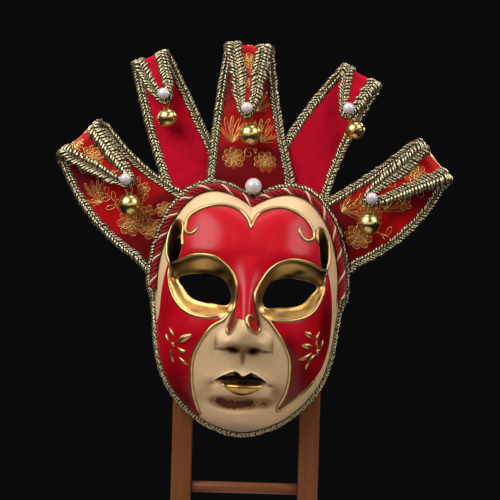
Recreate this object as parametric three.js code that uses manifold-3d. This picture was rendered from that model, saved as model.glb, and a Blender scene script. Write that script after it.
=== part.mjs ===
// A venetian jester mask hanging on a plain wooden stand.
// Millimetres, +Z up. The mask looks towards -Y, and the origin is on the floor under the middle of the whole.
import * as THREE from "three";
import { mergeVertices } from "three/addons/utils/BufferGeometryUtils.js";
import Module from "manifold-3d";

const wasm = await Module();
wasm.setup();

// Driving dimensions
const DEGREE = Math.PI / 180;
const GAP = 0.3;
const EYE_LEVEL = 215;
const RIM_Y = 15;
const HANG_ROLL = 1.75 * DEGREE;

const FACE = { depth: 62, wall: 2.2, fullness: 2.4 };
const FRONT_GRID = { rings: 29, spokes: 60 };
const BACK_GRID = { rings: 16, spokes: 40 };
const EYE = { x: 36, z: 8, recess: 8.5 };
const BRAID = { half: 4.5, tipHalf: 2.2, thick: 2.2, sides: 6 };
const CORD = { radius: 3.1, endAngle: 86, sides: 6, steps: 36 };
const CLOTH = { thick: 2, rake: 3 * DEGREE, tuckedIn: 30, tipHalf: 1.4 };
const PEARL = { radius: 5.2, browRadius: 7.5, browZ: 102.2, sides: 10, rows: 6, lift: 2.5 };
const BELL = { radius: 8.5, wall: 0.9, lip: 0.7, slot: 1.8, sides: 10 };
const LOOP = { radius: 4.1, wire: 0.65, seat: 2.2 };
const POST = { side: 18, spacing: 116, top: 195 };
const FOOT = { length: 150, height: 18, slope: 6 };
const RUNG = { radius: 5, z: 42, sides: 12 };
const HANGER = { width: 12, stem: 12, reach: 10, noseHeight: 10, underRim: 4.1 };

// Half of the face's edge: angle from straight up and distance from the bridge of the nose
const FACE_EDGE = [
  { angle: 0, radius: 86.5 },
  { angle: 10, radius: 97.5 },
  { angle: 20, radius: 106 },
  { angle: 30, radius: 107.5 },
  { angle: 45, radius: 101 },
  { angle: 60, radius: 92.7 },
  { angle: 75, radius: 87 },
  { angle: 90, radius: 84 },
  { angle: 105, radius: 84.5 },
  { angle: 120, radius: 91 },
  { angle: 135, radius: 101 },
  { angle: 150, radius: 109.5 },
  { angle: 165, radius: 117 },
  { angle: 180, radius: 121 },
  { angle: 195, radius: 117 },
];

// One eye seen from its middle: the cut-out's edge and the rim of the hollow around it
const EYE_EDGE = [
  { angle: 0, hole: 20, hollow: 33.5 },
  { angle: 17, hole: 27.2, hollow: 37 },
  { angle: 33, hole: 21.5, hollow: 41.6 },
  { angle: 60, hole: 15.5, hollow: 32.5 },
  { angle: 90, hole: 14.5, hollow: 29.5 },
  { angle: 120, hole: 15.2, hollow: 27.8 },
  { angle: 150, hole: 18, hollow: 26.6 },
  { angle: 180, hole: 21, hollow: 28.5 },
  { angle: 209, hole: 23.7, hollow: 30 },
  { angle: 235, hole: 14.2, hollow: 30 },
  { angle: 270, hole: 11.5, hollow: 25 },
  { angle: 300, hole: 12, hollow: 26 },
  { angle: 335, hole: 15.8, hollow: 30.3 },
];

// The nose from lip to brow: how far it stands out and how wide it is
const NOSE = [
  { z: -51, height: 0, half: 12 },
  { z: -45, height: 1, half: 12 },
  { z: -39, height: 10, half: 12 },
  { z: -31, height: 21, half: 12 },
  { z: -22, height: 23, half: 10.5 },
  { z: -8, height: 16.5, half: 8.5 },
  { z: 8, height: 9.5, half: 7 },
  { z: 22, height: 4.5, half: 7 },
  { z: 40, height: 0, half: 9 },
];

// Soft rises and dips of the face, each also mirrored; inside is how wide each shows in the hollow behind
const FORMS = [
  { name: "brow", x: 38, z: 44, across: 24, along: 10, height: 3, inside: 1 },
  { name: "cheek", x: 46, z: -31, across: 24, along: 20, height: 4.5, inside: 1 },
  { name: "nostril wing", x: 14.5, z: -34, across: 7.5, along: 6.5, height: 8, inside: 0 },
  { name: "nostril", x: 7.5, z: -42.5, across: 4, along: 3, height: -4, inside: 0 },
  { name: "groove under the nose", x: 0, z: -54, across: 4, along: 6, height: -1.5, inside: 2 },
  { name: "upper lip", x: 7, z: -67, across: 12, along: 4, height: 4.5, inside: 0 },
  { name: "lower lip", x: 0, z: -77, across: 14, along: 4.4, height: 6, inside: 0 },
  { name: "mouth line", x: 0, z: -72, across: 22, along: 2, height: -2.5, inside: 0 },
  { name: "dip under the lip", x: 0, z: -87.5, across: 15, along: 4.5, height: -3, inside: 1.6 },
  { name: "chin", x: 0, z: -102, across: 18, along: 11, height: 7, inside: 1 },
];
const NOSE_INSIDE = { height: 0.7, narrow: 1.3, lift: 4 };

// The five horns, from left to right as seen: where each is rooted and how far it leans
const HORN_ROOTS = [
  { name: "outer_left", x: -78, z: 60, lean: -47.2, layer: -9, cloth: "brocade" },
  { name: "inner_left", x: -54, z: 107, lean: -23.6, layer: -3.5, cloth: "velvet" },
  { name: "middle", x: -3.5, z: 112, lean: -3.8, layer: -9, cloth: "brocade" },
  { name: "inner_right", x: 39, z: 104, lean: 26.7, layer: -3.5, cloth: "velvet" },
  { name: "outer_right", x: 78.4, z: 63, lean: 49, layer: -9, cloth: "brocade" },
];

// Their cloth: length, half widths from the root to the fold, how far each bows sideways, the size of its
// fold, and how steeply the fold slants across
const HORN_CLOTHS = [
  { length: 112.4, root: 31, middle: 26.5, shoulder: 20, fold: 14, bow: -7.7, bend: 9, slant: -0.1 },
  { length: 117, root: 20, middle: 16.3, shoulder: 10.3, fold: 7.4, bow: -0.6, bend: 6.5, slant: 0 },
  { length: 117.8, root: 30.7, middle: 21.6, shoulder: 14, fold: 11.5, bow: -1.8, bend: 6.5, slant: -0.1 },
  { length: 118.2, root: 22.5, middle: 17.6, shoulder: 12.8, fold: 10, bow: -4.3, bend: 6.5, slant: 0 },
  { length: 111.2, root: 25.7, middle: 24.8, shoulder: 17.8, fold: 13, bow: 5.8, bend: 9, slant: 0 },
];

// Their tips, which hang forward: length, sideways drift, reach to the front, and how the bell swings out,
// with the bell's size as a share of the plain one
const HORN_TIPS = [
  { tip: 51.5, drift: 6, reach: 3, swing: 5, bellSize: 1.08 },
  { tip: 34, drift: 0.5, reach: 4, swing: 8, bellSize: 0.94 },
  { tip: 54.8, drift: -2.5, reach: 4, swing: 10, bellSize: 1.08 },
  { tip: 31, drift: 5, reach: 4, swing: 27, bellSize: 0.94 },
  { tip: 61.9, drift: -8, reach: 3, swing: 2.5, bellSize: 1.08 },
];
const HORNS = HORN_ROOTS.map((root, i) => ({ ...root, ...HORN_CLOTHS[i], ...HORN_TIPS[i] }));

// Finishes
const finish = (color, roughness, metalness) => new THREE.MeshStandardMaterial({ color, roughness, metalness });
const LACQUER = finish(0xc01228, 0.3, 0);
const CLOTHS = { brocade: finish(0xb0101c, 0.5, 0), velvet: finish(0xa8081f, 0.9, 0) };
const GOLD_BRAID = finish(0x9a8454, 0.55, 0.5);
const TWISTED_CORD = finish(0x8f1626, 0.6, 0);
const PEARL_WHITE = finish(0xe8e2e4, 0.2, 0);
const BRASS = finish(0xd0a840, 0.15, 1);
const BEECH = finish(0xa86a3c, 0.5, 0);

// Smooth curve through a table's rows; with a period the table closes on itself
function along(table, key, column, at, period = 0) {
  const count = table.length;
  const index = (i) => (period ? ((i % count) + count) % count : Math.min(Math.max(i, 0), count - 1));
  const place = (i) => table[index(i)][key] + (period ? Math.floor(i / count) * period : 0);
  const value = (i) => table[index(i)][column];
  let i = 0;
  while (i < count - 2 + (period ? 1 : 0) && at > place(i + 1)) i += 1;
  const slope = (j) => (value(j + 1) - value(j - 1)) / (place(j + 1) - place(j - 1));
  const span = place(i + 1) - place(i);
  const t = Math.min(Math.max((at - place(i)) / span, 0), 1);
  const near = (1 + 2 * t) * (1 - t) ** 2 * value(i) + t * (1 - t) ** 2 * span * slope(i);
  const far = t * t * (3 - 2 * t) * value(i + 1) + t * t * (t - 1) * span * slope(i + 1);
  return near + far;
}

const edgeRadius = (angle) => along(FACE_EDGE, "angle", "radius", Math.abs(angle));
const ease = (t) => t * t * (3 - 2 * t);
const clamped = (t) => Math.min(Math.max(t, 0), 1);

// How far the eye hollow sinks in, from its rim to the edge of the cut-out
function eyeHollow(x, z) {
  const across = Math.abs(x) - EYE.x;
  const up = z - EYE.z;
  const angle = (Math.atan2(up, across) / DEGREE + 360) % 360;
  const hole = along(EYE_EDGE, "angle", "hole", angle, 360);
  const hollow = along(EYE_EDGE, "angle", "hollow", angle, 360);
  return EYE.recess * ease(clamped((hollow - Math.hypot(across, up)) / (hollow - hole)));
}

function noseHeight(x, z) {
  const half = along(NOSE, "z", "half", z);
  return along(NOSE, "z", "height", z) * Math.exp(-(Math.abs(x / half) ** 2.2));
}

// How far the face stands in front of its rim; the hollow behind follows only the larger forms
function faceDepth(x, z, inside = false) {
  const angle = Math.atan2(x, z) / DEGREE;
  const share = Math.min(Math.hypot(x, z) / edgeRadius(angle), 1);
  const dome = FACE.depth * Math.sqrt(1 - share ** FACE.fullness);
  const shrunk = NOSE_INSIDE.height * noseHeight(x * NOSE_INSIDE.narrow, z - NOSE_INSIDE.lift);
  let relief = (inside ? shrunk : noseHeight(x, z)) - eyeHollow(x, z);
  for (const form of FORMS) {
    const spread = inside ? form.inside : 1;
    const up = (z - form.z) / (form.along * spread || 1);
    for (const side of form.x ? [-1, 1] : [1]) {
      const across = (x - side * form.x) / (form.across * spread || 1);
      relief += (spread ? form.height : 0) * Math.exp(-across * across - up * up);
    }
  }
  return dome + ease(clamped((1 - share) * 6)) * relief;
}

// A closed body skinned through rings of equal count, capped with fans, or joined end to end when it is a loop
function loft(rings, closed = false) {
  const count = rings[0].length;
  const points = rings.flat();
  const faces = [];
  const spans = closed ? rings.length : rings.length - 1;
  for (let i = 0; i < spans; i += 1) {
    const here = i * count;
    const next = ((i + 1) % rings.length) * count;
    for (let j = 0; j < count; j += 1) {
      const k = (j + 1) % count;
      faces.push(here + j, here + k, next + k, here + j, next + k, next + j);
    }
  }
  const cap = (ring, start, flipped) => {
    const middle = ring.reduce((sum, p) => sum.add(p), new THREE.Vector3()).divideScalar(count);
    const hub = points.push(middle) - 1;
    for (let j = 0; j < count; j += 1) {
      const k = (j + 1) % count;
      faces.push(...(flipped ? [hub, start + k, start + j] : [hub, start + j, start + k]));
    }
  };
  if (!closed) {
    cap(rings[0], 0, true);
    cap(rings[rings.length - 1], (rings.length - 1) * count, false);
  }
  return new THREE.BufferGeometry().setFromPoints(points).setIndex(faces);
}

// A ring of points around a centre, flattened along two directions
function oval(centre, wide, halfWide, thick, halfThick, sides) {
  return Array.from({ length: sides }, (_, i) => {
    const turn = (2 * Math.PI * i) / sides;
    return centre
      .clone()
      .addScaledVector(wide, halfWide * Math.cos(turn))
      .addScaledVector(thick, halfThick * Math.sin(turn));
  });
}

// Solids for cutting and joining, and back to geometry
function solid(geometry) {
  const bare = new THREE.BufferGeometry().setAttribute("position", geometry.getAttribute("position"));
  bare.setIndex(geometry.index);
  const merged = mergeVertices(bare, 1e-4);
  const mesh = new wasm.Mesh({
    numProp: 3,
    vertProperties: merged.attributes.position.array,
    triVerts: new Uint32Array(merged.index.array),
  });
  return new wasm.Manifold(mesh);
}

function geometryOf(manifold) {
  const mesh = manifold.getMesh();
  return new THREE.BufferGeometry()
    .setAttribute("position", new THREE.BufferAttribute(mesh.vertProperties, 3))
    .setIndex(new THREE.BufferAttribute(mesh.triVerts, 1));
}

function piece(name, geometry, material, parent) {
  const mesh = new THREE.Mesh(geometry, material);
  mesh.name = name;
  parent.add(mesh);
  return mesh;
}

// A straight-sided body behind an outline that is seen from the front
function plug(outline, front, back) {
  const shape = new THREE.Shape(outline.map(([x, z]) => new THREE.Vector2(x, z)));
  const geometry = new THREE.ExtrudeGeometry(shape, { depth: back - front, bevelEnabled: false });
  return geometry.rotateX(Math.PI / 2).translate(0, back, 0);
}

function faceOutline(spread, count) {
  return Array.from({ length: count }, (_, i) => {
    const angle = (360 * i) / count - 180;
    const radius = edgeRadius(angle) + spread;
    return [radius * Math.sin(angle * DEGREE), radius * Math.cos(angle * DEGREE)];
  });
}

// The hollow behind the face keeps an even wall where the front is steep
function hollowDepth(x, z) {
  let depth = faceDepth(x, z, true) - FACE.wall;
  for (const [reach, rise] of [[0.7, 0.714], [1, 0]]) {
    for (let turn = 0; turn < 8; turn += 1) {
      const dx = FACE.wall * reach * Math.cos((turn * Math.PI) / 4);
      const dz = FACE.wall * reach * Math.sin((turn * Math.PI) / 4);
      depth = Math.min(depth, faceDepth(x + dx, z + dz, true) - FACE.wall * rise);
    }
  }
  return depth;
}

// A dome skinned from its edge to its middle, with spokes closer together towards the mouth
function dome(grid, edgeInset, depthAt, backY) {
  const spoke = (j) => {
    const turn = (2 * Math.PI * j) / grid.spokes;
    return 180 - (turn - 0.25 * Math.sin(turn)) / DEGREE;
  };
  const ringAt = (share, flatY) =>
    Array.from({ length: grid.spokes }, (_, j) => {
      const angle = spoke(j);
      const radius = (edgeRadius(angle) - edgeInset) * share;
      const x = radius * Math.sin(angle * DEGREE);
      const z = radius * Math.cos(angle * DEGREE);
      return new THREE.Vector3(x, flatY ?? -Math.max(depthAt(x, z), 0), z);
    });
  const rings = [ringAt(1, backY)];
  for (let i = backY > 0 ? 0 : 1; i < grid.rings; i += 1) rings.push(ringAt(1 - (i / grid.rings) ** 1.2));
  return solid(loft(rings));
}

function eyeCut(side) {
  const turns = EYE_EDGE.flatMap((row, i) => {
    const next = EYE_EDGE[(i + 1) % EYE_EDGE.length].angle + (i + 1 === EYE_EDGE.length ? 360 : 0);
    return [row.angle, (row.angle + next) / 2];
  });
  const outline = turns.map((angle) => {
    const radius = along(EYE_EDGE, "angle", "hole", angle % 360, 360);
    return [side * (EYE.x + radius * Math.cos(angle * DEGREE)), EYE.z + radius * Math.sin(angle * DEGREE)];
  });
  return solid(plug(outline, -2 * FACE.depth, -FACE.depth / 4));
}

// The face: a dome with its features, hollowed from behind and cut through at the eyes
function faceShell() {
  const front = dome(FRONT_GRID, 0, faceDepth, 0);
  const hollow = dome(BACK_GRID, FACE.wall, hollowDepth, 2 * FACE.wall);
  return geometryOf(front.subtract(hollow).subtract(eyeCut(1)).subtract(eyeCut(-1)));
}

// The braid round the face: flat in front of the horns, turned on edge along the jaw
function rimBraid() {
  const count = 56;
  const rings = Array.from({ length: count }, (_, i) => {
    const angle = (360 * i) / count;
    const turned = ease(clamped((Math.min(angle, 360 - angle) - 88) / 16));
    const mix = (upper, lower) => upper + (lower - upper) * turned;
    const out = new THREE.Vector3(Math.sin(angle * DEGREE), 0, Math.cos(angle * DEGREE));
    const radius = edgeRadius(Math.min(angle, 360 - angle)) + mix(BRAID.half - 1.4, BRAID.thick + GAP + 0.1);
    const centre = out.clone().multiplyScalar(radius).setY(mix(-13.7, -5.5));
    const front = new THREE.Vector3(0, -1, 0);
    const wide = mix(BRAID.half, BRAID.thick);
    return oval(centre, out, wide, front, mix(BRAID.thick, BRAID.half - 0.5), BRAID.sides);
  });
  return loft(rings, true);
}

// The twisted cord over the brow, lying on the face just inside the braid
function browCord() {
  const rings = Array.from({ length: CORD.steps + 1 }, (_, i) => {
    const angle = CORD.endAngle * ((2 * i) / CORD.steps - 1);
    const out = new THREE.Vector3(Math.sin(angle * DEGREE), 0, Math.cos(angle * DEGREE));
    const centre = out.clone().multiplyScalar(edgeRadius(angle) + 0.2).setY(-19.5);
    return oval(centre, out, CORD.radius, new THREE.Vector3(0, -1, 0), CORD.radius, CORD.sides);
  });
  return loft(rings);
}

// A horn seen along its length: up from the root, over the fold and down to the hanging tip
function hornPath(horn) {
  const rise = (s) => horn.layer + Math.max(s, 0) * Math.tan(CLOTH.rake);
  const foldStart = horn.length - horn.bend;
  const foldY = rise(foldStart) - horn.bend;
  const middle = (4 * horn.middle - horn.root - horn.shoulder) / 2;
  const halfAt = (t) => (1 - t) ** 2 * horn.root + 2 * t * (1 - t) * middle + t * t * horn.shoulder;
  const path = [{ s: -CLOTH.tuckedIn, y: rise(-CLOTH.tuckedIn), half: horn.root }];
  const panelSteps = 5;
  for (let i = 0; i <= panelSteps; i += 1) {
    const s = (foldStart * i) / panelSteps;
    const t = s / foldStart;
    path.push({ s, y: rise(s), half: halfAt(t), x: 4 * horn.bow * t * (1 - t) });
  }
  const foldSteps = 5;
  for (let i = 1; i <= foldSteps; i += 1) {
    const turn = (Math.PI * i) / foldSteps;
    path.push({
      s: foldStart + horn.bend * Math.sin(turn),
      y: foldY + horn.bend * Math.cos(turn),
      half: horn.shoulder + (horn.fold - horn.shoulder) * ease(i / foldSteps),
    });
  }
  const tipSteps = 2;
  for (let i = 1; i <= tipSteps; i += 1) {
    const t = i / tipSteps;
    path.push({
      s: foldStart - horn.tip * t,
      y: foldY - horn.bend - horn.reach * t,
      half: horn.fold + (CLOTH.tipHalf - horn.fold) * t,
      x: horn.drift * t,
    });
  }
  path.forEach((here, i) => {
    const before = path[Math.max(i - 1, 0)];
    const after = path[Math.min(i + 1, path.length - 1)];
    here.centre = new THREE.Vector3(here.x ?? 0, here.y, here.s);
    here.ahead = new THREE.Vector3(0, after.y - before.y, after.s - before.s).normalize();
    here.face = new THREE.Vector3(0, -here.ahead.z, here.ahead.y);
  });
  return path;
}

const ACROSS = new THREE.Vector3(1, 0, 0);

function hornCloth(path) {
  const rings = path.map(({ centre, half, face }) =>
    [[-1, 1], [1, 1], [1, -1], [-1, -1]].map(([side, skin]) =>
      centre.clone().addScaledVector(ACROSS, side * half).addScaledVector(face, (skin * CLOTH.thick) / 2)));
  return loft(rings);
}

// The braid along both edges of a horn, turning round its tip
function hornBraid(path) {
  const last = path[path.length - 1];
  const edge = (here, side) => {
    const out = ACROSS.clone().multiplyScalar(side);
    const centre = here.centre.clone().addScaledVector(out, here.half + GAP + BRAID.half);
    return oval(centre, out, BRAID.half, here.face, BRAID.thick, BRAID.sides);
  };
  const turnRadius = last.half + GAP + BRAID.half;
  const turnSteps = 8;
  const turn = Array.from({ length: turnSteps - 1 }, (_, i) => {
    const angle = (Math.PI * (i + 1)) / turnSteps;
    const out = new THREE.Vector3()
      .addScaledVector(ACROSS, -Math.cos(angle))
      .addScaledVector(last.ahead, Math.sin(angle));
    const half = BRAID.half - (BRAID.half - BRAID.tipHalf) * Math.sin(angle) ** 0.35;
    return oval(last.centre.clone().addScaledVector(out, turnRadius), out, half, last.face, BRAID.thick, BRAID.sides);
  });
  const down = path.map((here) => edge(here, -1));
  const back = path.map((here) => edge(here, 1)).reverse();
  return loft([...down, ...turn, ...back]);
}

const pearl = (radius) => new THREE.SphereGeometry(radius, PEARL.sides, PEARL.rows);

// A round sleigh bell with its wire loop, hanging from the top of the loop
function bell() {
  const drop = 2 * LOOP.radius + BELL.radius - LOOP.wire / 2;
  const rows = [68, 40, 12];
  const arc = rows.map((up) => [Math.cos(up * DEGREE) * BELL.radius, Math.sin(up * DEGREE) * BELL.radius]);
  const lip = BELL.radius + BELL.lip;
  const half = [[0, BELL.radius], ...arc, [lip, 0.5]];
  const profile = [...half, ...half.map(([r, z]) => [r, -z]).reverse()].reverse();
  const outside = new THREE.LatheGeometry(profile.map(([r, z]) => new THREE.Vector2(r, z)), BELL.sides);
  const inside = new THREE.SphereGeometry(BELL.radius - BELL.wall, 8, 5);
  const slot = new THREE.BoxGeometry(1.5 * BELL.radius, BELL.slot, BELL.radius).translate(0, 0, -BELL.radius);
  const loop = new THREE.TorusGeometry(LOOP.radius, LOOP.wire, 4, 9)
    .rotateY(Math.PI / 2)
    .translate(0, 0, BELL.radius + LOOP.radius - LOOP.wire / 2);
  const upright = solid(outside.rotateX(Math.PI / 2)).subtract(solid(inside)).subtract(solid(slot));
  return geometryOf(upright.add(solid(loop))).translate(0, 0, -drop);
}

// How far a point of a horn rises or drops with the slant of its fold
const slantAt = (horn, x, z) => horn.slant * x * ease(clamped(z / horn.length));

function slanted(geometry, horn) {
  const points = geometry.attributes.position;
  for (let i = 0; i < points.count; i += 1) {
    points.setZ(i, points.getZ(i) + slantAt(horn, points.getX(i), points.getZ(i)));
  }
  return geometry;
}

// One horn with its braid, pearl and bell, in a group that stands at the horn's root
function addHorn(horn, mask) {
  const group = new THREE.Group();
  group.position.set(horn.x, 0, horn.z);
  group.rotation.y = horn.lean * DEGREE;
  group.updateMatrix();
  mask.add(group);

  const path = hornPath(horn);
  const face = solid(plug(faceOutline(GAP + 0.1, 72), -30, 20).applyMatrix4(group.matrix.clone().invert()));
  const trimmed = (geometry) => geometryOf(solid(slanted(geometry, horn)).subtract(face));
  piece(`horn_${horn.name}`, trimmed(hornCloth(path)), CLOTHS[horn.cloth], group);
  piece(`braid_${horn.name}`, trimmed(hornBraid(path)), GOLD_BRAID, group);

  const tip = path[path.length - 1];
  const hangs = tip.centre.clone();
  hangs.z += slantAt(horn, hangs.x, hangs.z);
  const stone = piece(`pearl_${horn.name}`, pearl(PEARL.radius), PEARL_WHITE, group);
  stone.position
    .copy(hangs)
    .addScaledVector(tip.ahead, -PEARL.lift)
    .addScaledVector(tip.face, -(CLOTH.thick / 2 + GAP + PEARL.radius));

  const upright = -((horn.lean + horn.swing) * DEGREE + HANG_ROLL);
  const down = new THREE.Vector3(0, 0, -1).applyAxisAngle(new THREE.Vector3(0, 1, 0), upright);
  const size = horn.bellSize;
  const hung = piece(`bell_${horn.name}`, bell().scale(size, size, size), BRASS, group);
  hung.position.copy(hangs).addScaledVector(down, LOOP.seat);
  hung.rotation.y = upright;
}

function buildMask() {
  const mask = new THREE.Group();
  piece("face_shell", faceShell(), LACQUER, mask);
  piece("rim_braid", rimBraid(), GOLD_BRAID, mask);
  piece("brow_cord", browCord(), TWISTED_CORD, mask);
  HORNS.forEach((horn) => addHorn(horn, mask));

  const middle = HORNS.find((horn) => horn.name === "middle");
  const clothY = middle.layer - CLOTH.thick / 2;
  const browPearl = piece("pearl_brow", pearl(PEARL.browRadius), PEARL_WHITE, mask);
  browPearl.position.set(0, clothY - GAP - PEARL.browRadius, PEARL.browZ);
  return mask;
}

// The stand: two posts on feet, tied by a round rung and a rail that carries the hidden hanger
function buildStand() {
  const stand = new THREE.Group();
  const postY = RIM_Y + GAP + POST.side / 2;
  for (const [name, side] of [["left", -1], ["right", 1]]) {
    const bottom = FOOT.height + GAP;
    const post = new THREE.BoxGeometry(POST.side, POST.side, POST.top - bottom);
    const upright = piece(`post_${name}`, post, BEECH, stand);
    upright.position.set((side * POST.spacing) / 2, postY, (POST.top + bottom) / 2);

    const half = FOOT.length / 2;
    const profile = [[-half, 0], [half, 0], [half, FOOT.height - FOOT.slope], [half - FOOT.slope, FOOT.height],
      [FOOT.slope - half, FOOT.height], [-half, FOOT.height - FOOT.slope]];
    const shape = new THREE.Shape(profile.map(([y, z]) => new THREE.Vector2(y, z)));
    const bar = new THREE.ExtrudeGeometry(shape, { depth: POST.side, bevelEnabled: false });
    bar.rotateX(Math.PI / 2).rotateZ(Math.PI / 2);
    const foot = piece(`foot_${name}`, bar, BEECH, stand);
    foot.position.x = (side * POST.spacing - POST.side) / 2;
  }
  const between = POST.spacing - POST.side - 2 * GAP;
  const dowel = new THREE.CylinderGeometry(RUNG.radius, RUNG.radius, between, RUNG.sides).rotateZ(Math.PI / 2);
  piece("rung", dowel, BEECH, stand).position.set(0, postY, RUNG.z);
  const rail = new THREE.BoxGeometry(between, POST.side, POST.side);
  piece("rail", rail, BEECH, stand).position.set(0, postY, POST.top - POST.side / 2);

  const front = RIM_Y + GAP;
  const foot = POST.top + GAP;
  const top = EYE_LEVEL + edgeRadius(0) - HANGER.underRim;
  const hook = [[front, foot], [front + HANGER.stem, foot], [front + HANGER.stem, top],
    [front - HANGER.reach, top], [front - HANGER.reach, top - HANGER.noseHeight], [front, top - HANGER.noseHeight]];
  const hookShape = new THREE.Shape(hook.map(([y, z]) => new THREE.Vector2(y, z)));
  const hanger = new THREE.ExtrudeGeometry(hookShape, { depth: HANGER.width, bevelEnabled: false });
  hanger.rotateX(Math.PI / 2).rotateZ(Math.PI / 2);
  piece("hanger", hanger, BEECH, stand).position.x = -HANGER.width / 2;
  return stand;
}

// The mask swings a little to one side about the hanger
const model = new THREE.Group();
model.add(buildStand());
const swing = new THREE.Group();
const hangZ = edgeRadius(0) - FACE.wall;
swing.position.set(0, RIM_Y, EYE_LEVEL + hangZ);
swing.rotation.y = HANG_ROLL;
const mask = buildMask();
mask.position.z = -hangZ;
swing.add(mask);
model.add(swing);

export default model;
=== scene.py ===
# %% [markdown]
# # A Venetian jester mask on its wooden stand
#
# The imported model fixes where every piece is. In this lesson each plain solid gets its real surface: a
# lacquered and gilded face, horns of brocade and velvet, gimp braid, a twisted brow cord, pearls, brass
# bells and a stand of stained beech. Sizes stay in millimetres until `to_row` turns them into metres.

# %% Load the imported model
import math

import bpy
import numpy as np
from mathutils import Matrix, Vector


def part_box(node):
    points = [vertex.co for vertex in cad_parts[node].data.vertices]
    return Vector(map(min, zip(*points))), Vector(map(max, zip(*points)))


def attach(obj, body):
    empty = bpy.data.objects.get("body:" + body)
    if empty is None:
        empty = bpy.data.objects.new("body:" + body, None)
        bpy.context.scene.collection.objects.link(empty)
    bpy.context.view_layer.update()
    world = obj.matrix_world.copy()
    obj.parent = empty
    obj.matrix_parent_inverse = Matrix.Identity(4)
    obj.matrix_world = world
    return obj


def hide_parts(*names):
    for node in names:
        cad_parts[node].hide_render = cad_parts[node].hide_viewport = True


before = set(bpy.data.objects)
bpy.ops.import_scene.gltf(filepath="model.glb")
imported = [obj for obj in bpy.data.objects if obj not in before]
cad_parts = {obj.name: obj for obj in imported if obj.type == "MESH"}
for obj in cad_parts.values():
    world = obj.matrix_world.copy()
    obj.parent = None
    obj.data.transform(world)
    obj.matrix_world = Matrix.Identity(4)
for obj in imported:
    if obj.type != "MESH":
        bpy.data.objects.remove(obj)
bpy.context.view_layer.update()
print("solids in the model:", len(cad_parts))

# %% [markdown]
# ## Where the mask hangs
# The mask hangs by its top rim and leans a little to one side, so it is easiest to think in the mask's own
# frame: x to the right, y to the back, z up, from the point between the eyes. One function turns such points
# into the model's frame, and one turns them back.

# %% From the mask's frame to the model's
# A millimetre in metres, and how near points are to be welded into one
MM, WELD = 0.001, 0.00001
HANG_ROLL = math.radians(1.75)
RIM_Y = 15.0
HANG_Z = 84.3
EYE_LEVEL = 215.0
ROLL = np.array([[math.cos(HANG_ROLL), 0, -math.sin(HANG_ROLL)],
                 [0, 1, 0],
                 [math.sin(HANG_ROLL), 0, math.cos(HANG_ROLL)]])


def to_row(points):
    """Mask millimetres to metres in the model's frame."""
    shifted = np.asarray(points, float).reshape(-1, 3) - (0, 0, HANG_Z)
    return (shifted @ ROLL + (0, RIM_Y, HANG_Z + EYE_LEVEL)) * MM


def to_mask(points):
    """Metres in the model's frame back to mask millimetres."""
    shifted = np.asarray(points, float).reshape(-1, 3) / MM - (0, RIM_Y, HANG_Z + EYE_LEVEL)
    return shifted @ ROLL.T + (0, 0, HANG_Z)


print("the point between the eyes, in metres:", to_row([0, 0, 0])[0].round(4))

# %% [markdown]
# ## Camera, light and floor
# The mask is seen straight on from more than a metre away, so it is nearly flat. Gold and lacquer only show
# their gloss when they mirror something bright beside something dark, so two large soft boxes stand left and
# right of the camera in a dark studio, with a softer one above and two behind that draw a rim of light.

# %% Camera
CAMERA_MM = (-0.9, -1300.0, 260.0)
VIEW_WIDTH_MM, SENSOR_MM = 450.0, 36.0
CAMERA_ROLL = math.radians(-1.65)
bpy.ops.object.select_all(action="DESELECT")
bpy.ops.object.camera_add(location=[v * MM for v in CAMERA_MM], rotation=(math.radians(90), CAMERA_ROLL, 0))
camera = bpy.context.object
camera.data.sensor_width = SENSOR_MM
camera.data.lens = SENSOR_MM * -CAMERA_MM[1] / VIEW_WIDTH_MM
bpy.context.scene.camera = camera
print("lens in mm:", round(camera.data.lens, 1))

# %% Soft boxes
TARGET = Vector((0, 0, 0.25))
# Place in metres, width and height in metres, and power in watts
SOFT_BOXES = {
    "left soft box": dict(place=(-0.69, -0.645, 0.99), wide=0.9, high=0.8, watts=17.5),
    "right soft box": dict(place=(0.83, -0.52, 0.94), wide=0.6, high=0.8, watts=9),
    "top soft box": dict(place=(0.0, 0.05, 1.5), wide=0.9, high=0.5, watts=5),
    "left rim light": dict(place=(-0.8, 0.75, 0.8), wide=0.4, high=0.6, watts=5),
    "right rim light": dict(place=(0.8, 0.75, 0.8), wide=0.4, high=0.6, watts=5),
}
for name, box in SOFT_BOXES.items():
    aim = (TARGET - Vector(box["place"])).to_track_quat("-Z", "Y").to_euler()
    bpy.ops.object.light_add(type="AREA", location=box["place"], rotation=aim)
    light = bpy.context.object
    light.name = name
    light.data.shape = "RECTANGLE"
    light.data.size, light.data.size_y = box["wide"], box["high"]
    light.data.energy = box["watts"]
print("soft boxes:", len(SOFT_BOXES))


# %% Colours and nodes
def linear(code):
    """An sRGB hex colour as linear red, green and blue, with full alpha."""
    parts = [int(code[i:i + 2], 16) / 255 for i in (1, 3, 5)]
    return [c / 12.92 if c <= 0.04045 else ((c + 0.055) / 1.055) ** 2.4 for c in parts] + [1.0]


def set_inputs(tree, node, inputs):
    """Gives a node's inputs their values, or links them to the outputs that feed them."""
    for key, value in inputs.items():
        if isinstance(value, bpy.types.NodeSocket):
            tree.links.new(value, node.inputs[key])
        else:
            node.inputs[key].default_value = value


def add_node(tree, kind, output, inputs=None, **settings):
    """Adds one shader node with its settings and links, and returns one of its outputs."""
    made = tree.nodes.new("ShaderNode" + kind)
    for key, value in settings.items():
        setattr(made, key, value)
    set_inputs(tree, made, inputs or {})
    return made.outputs[output]


def new_material(name, inputs):
    """A material whose shader has these constant values; returns it with its tree and its shader."""
    material = bpy.data.materials.new(name)
    material.use_nodes = True
    shader = material.node_tree.nodes["Principled BSDF"]
    set_inputs(material.node_tree, shader, inputs)
    return material, material.node_tree, shader


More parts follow.
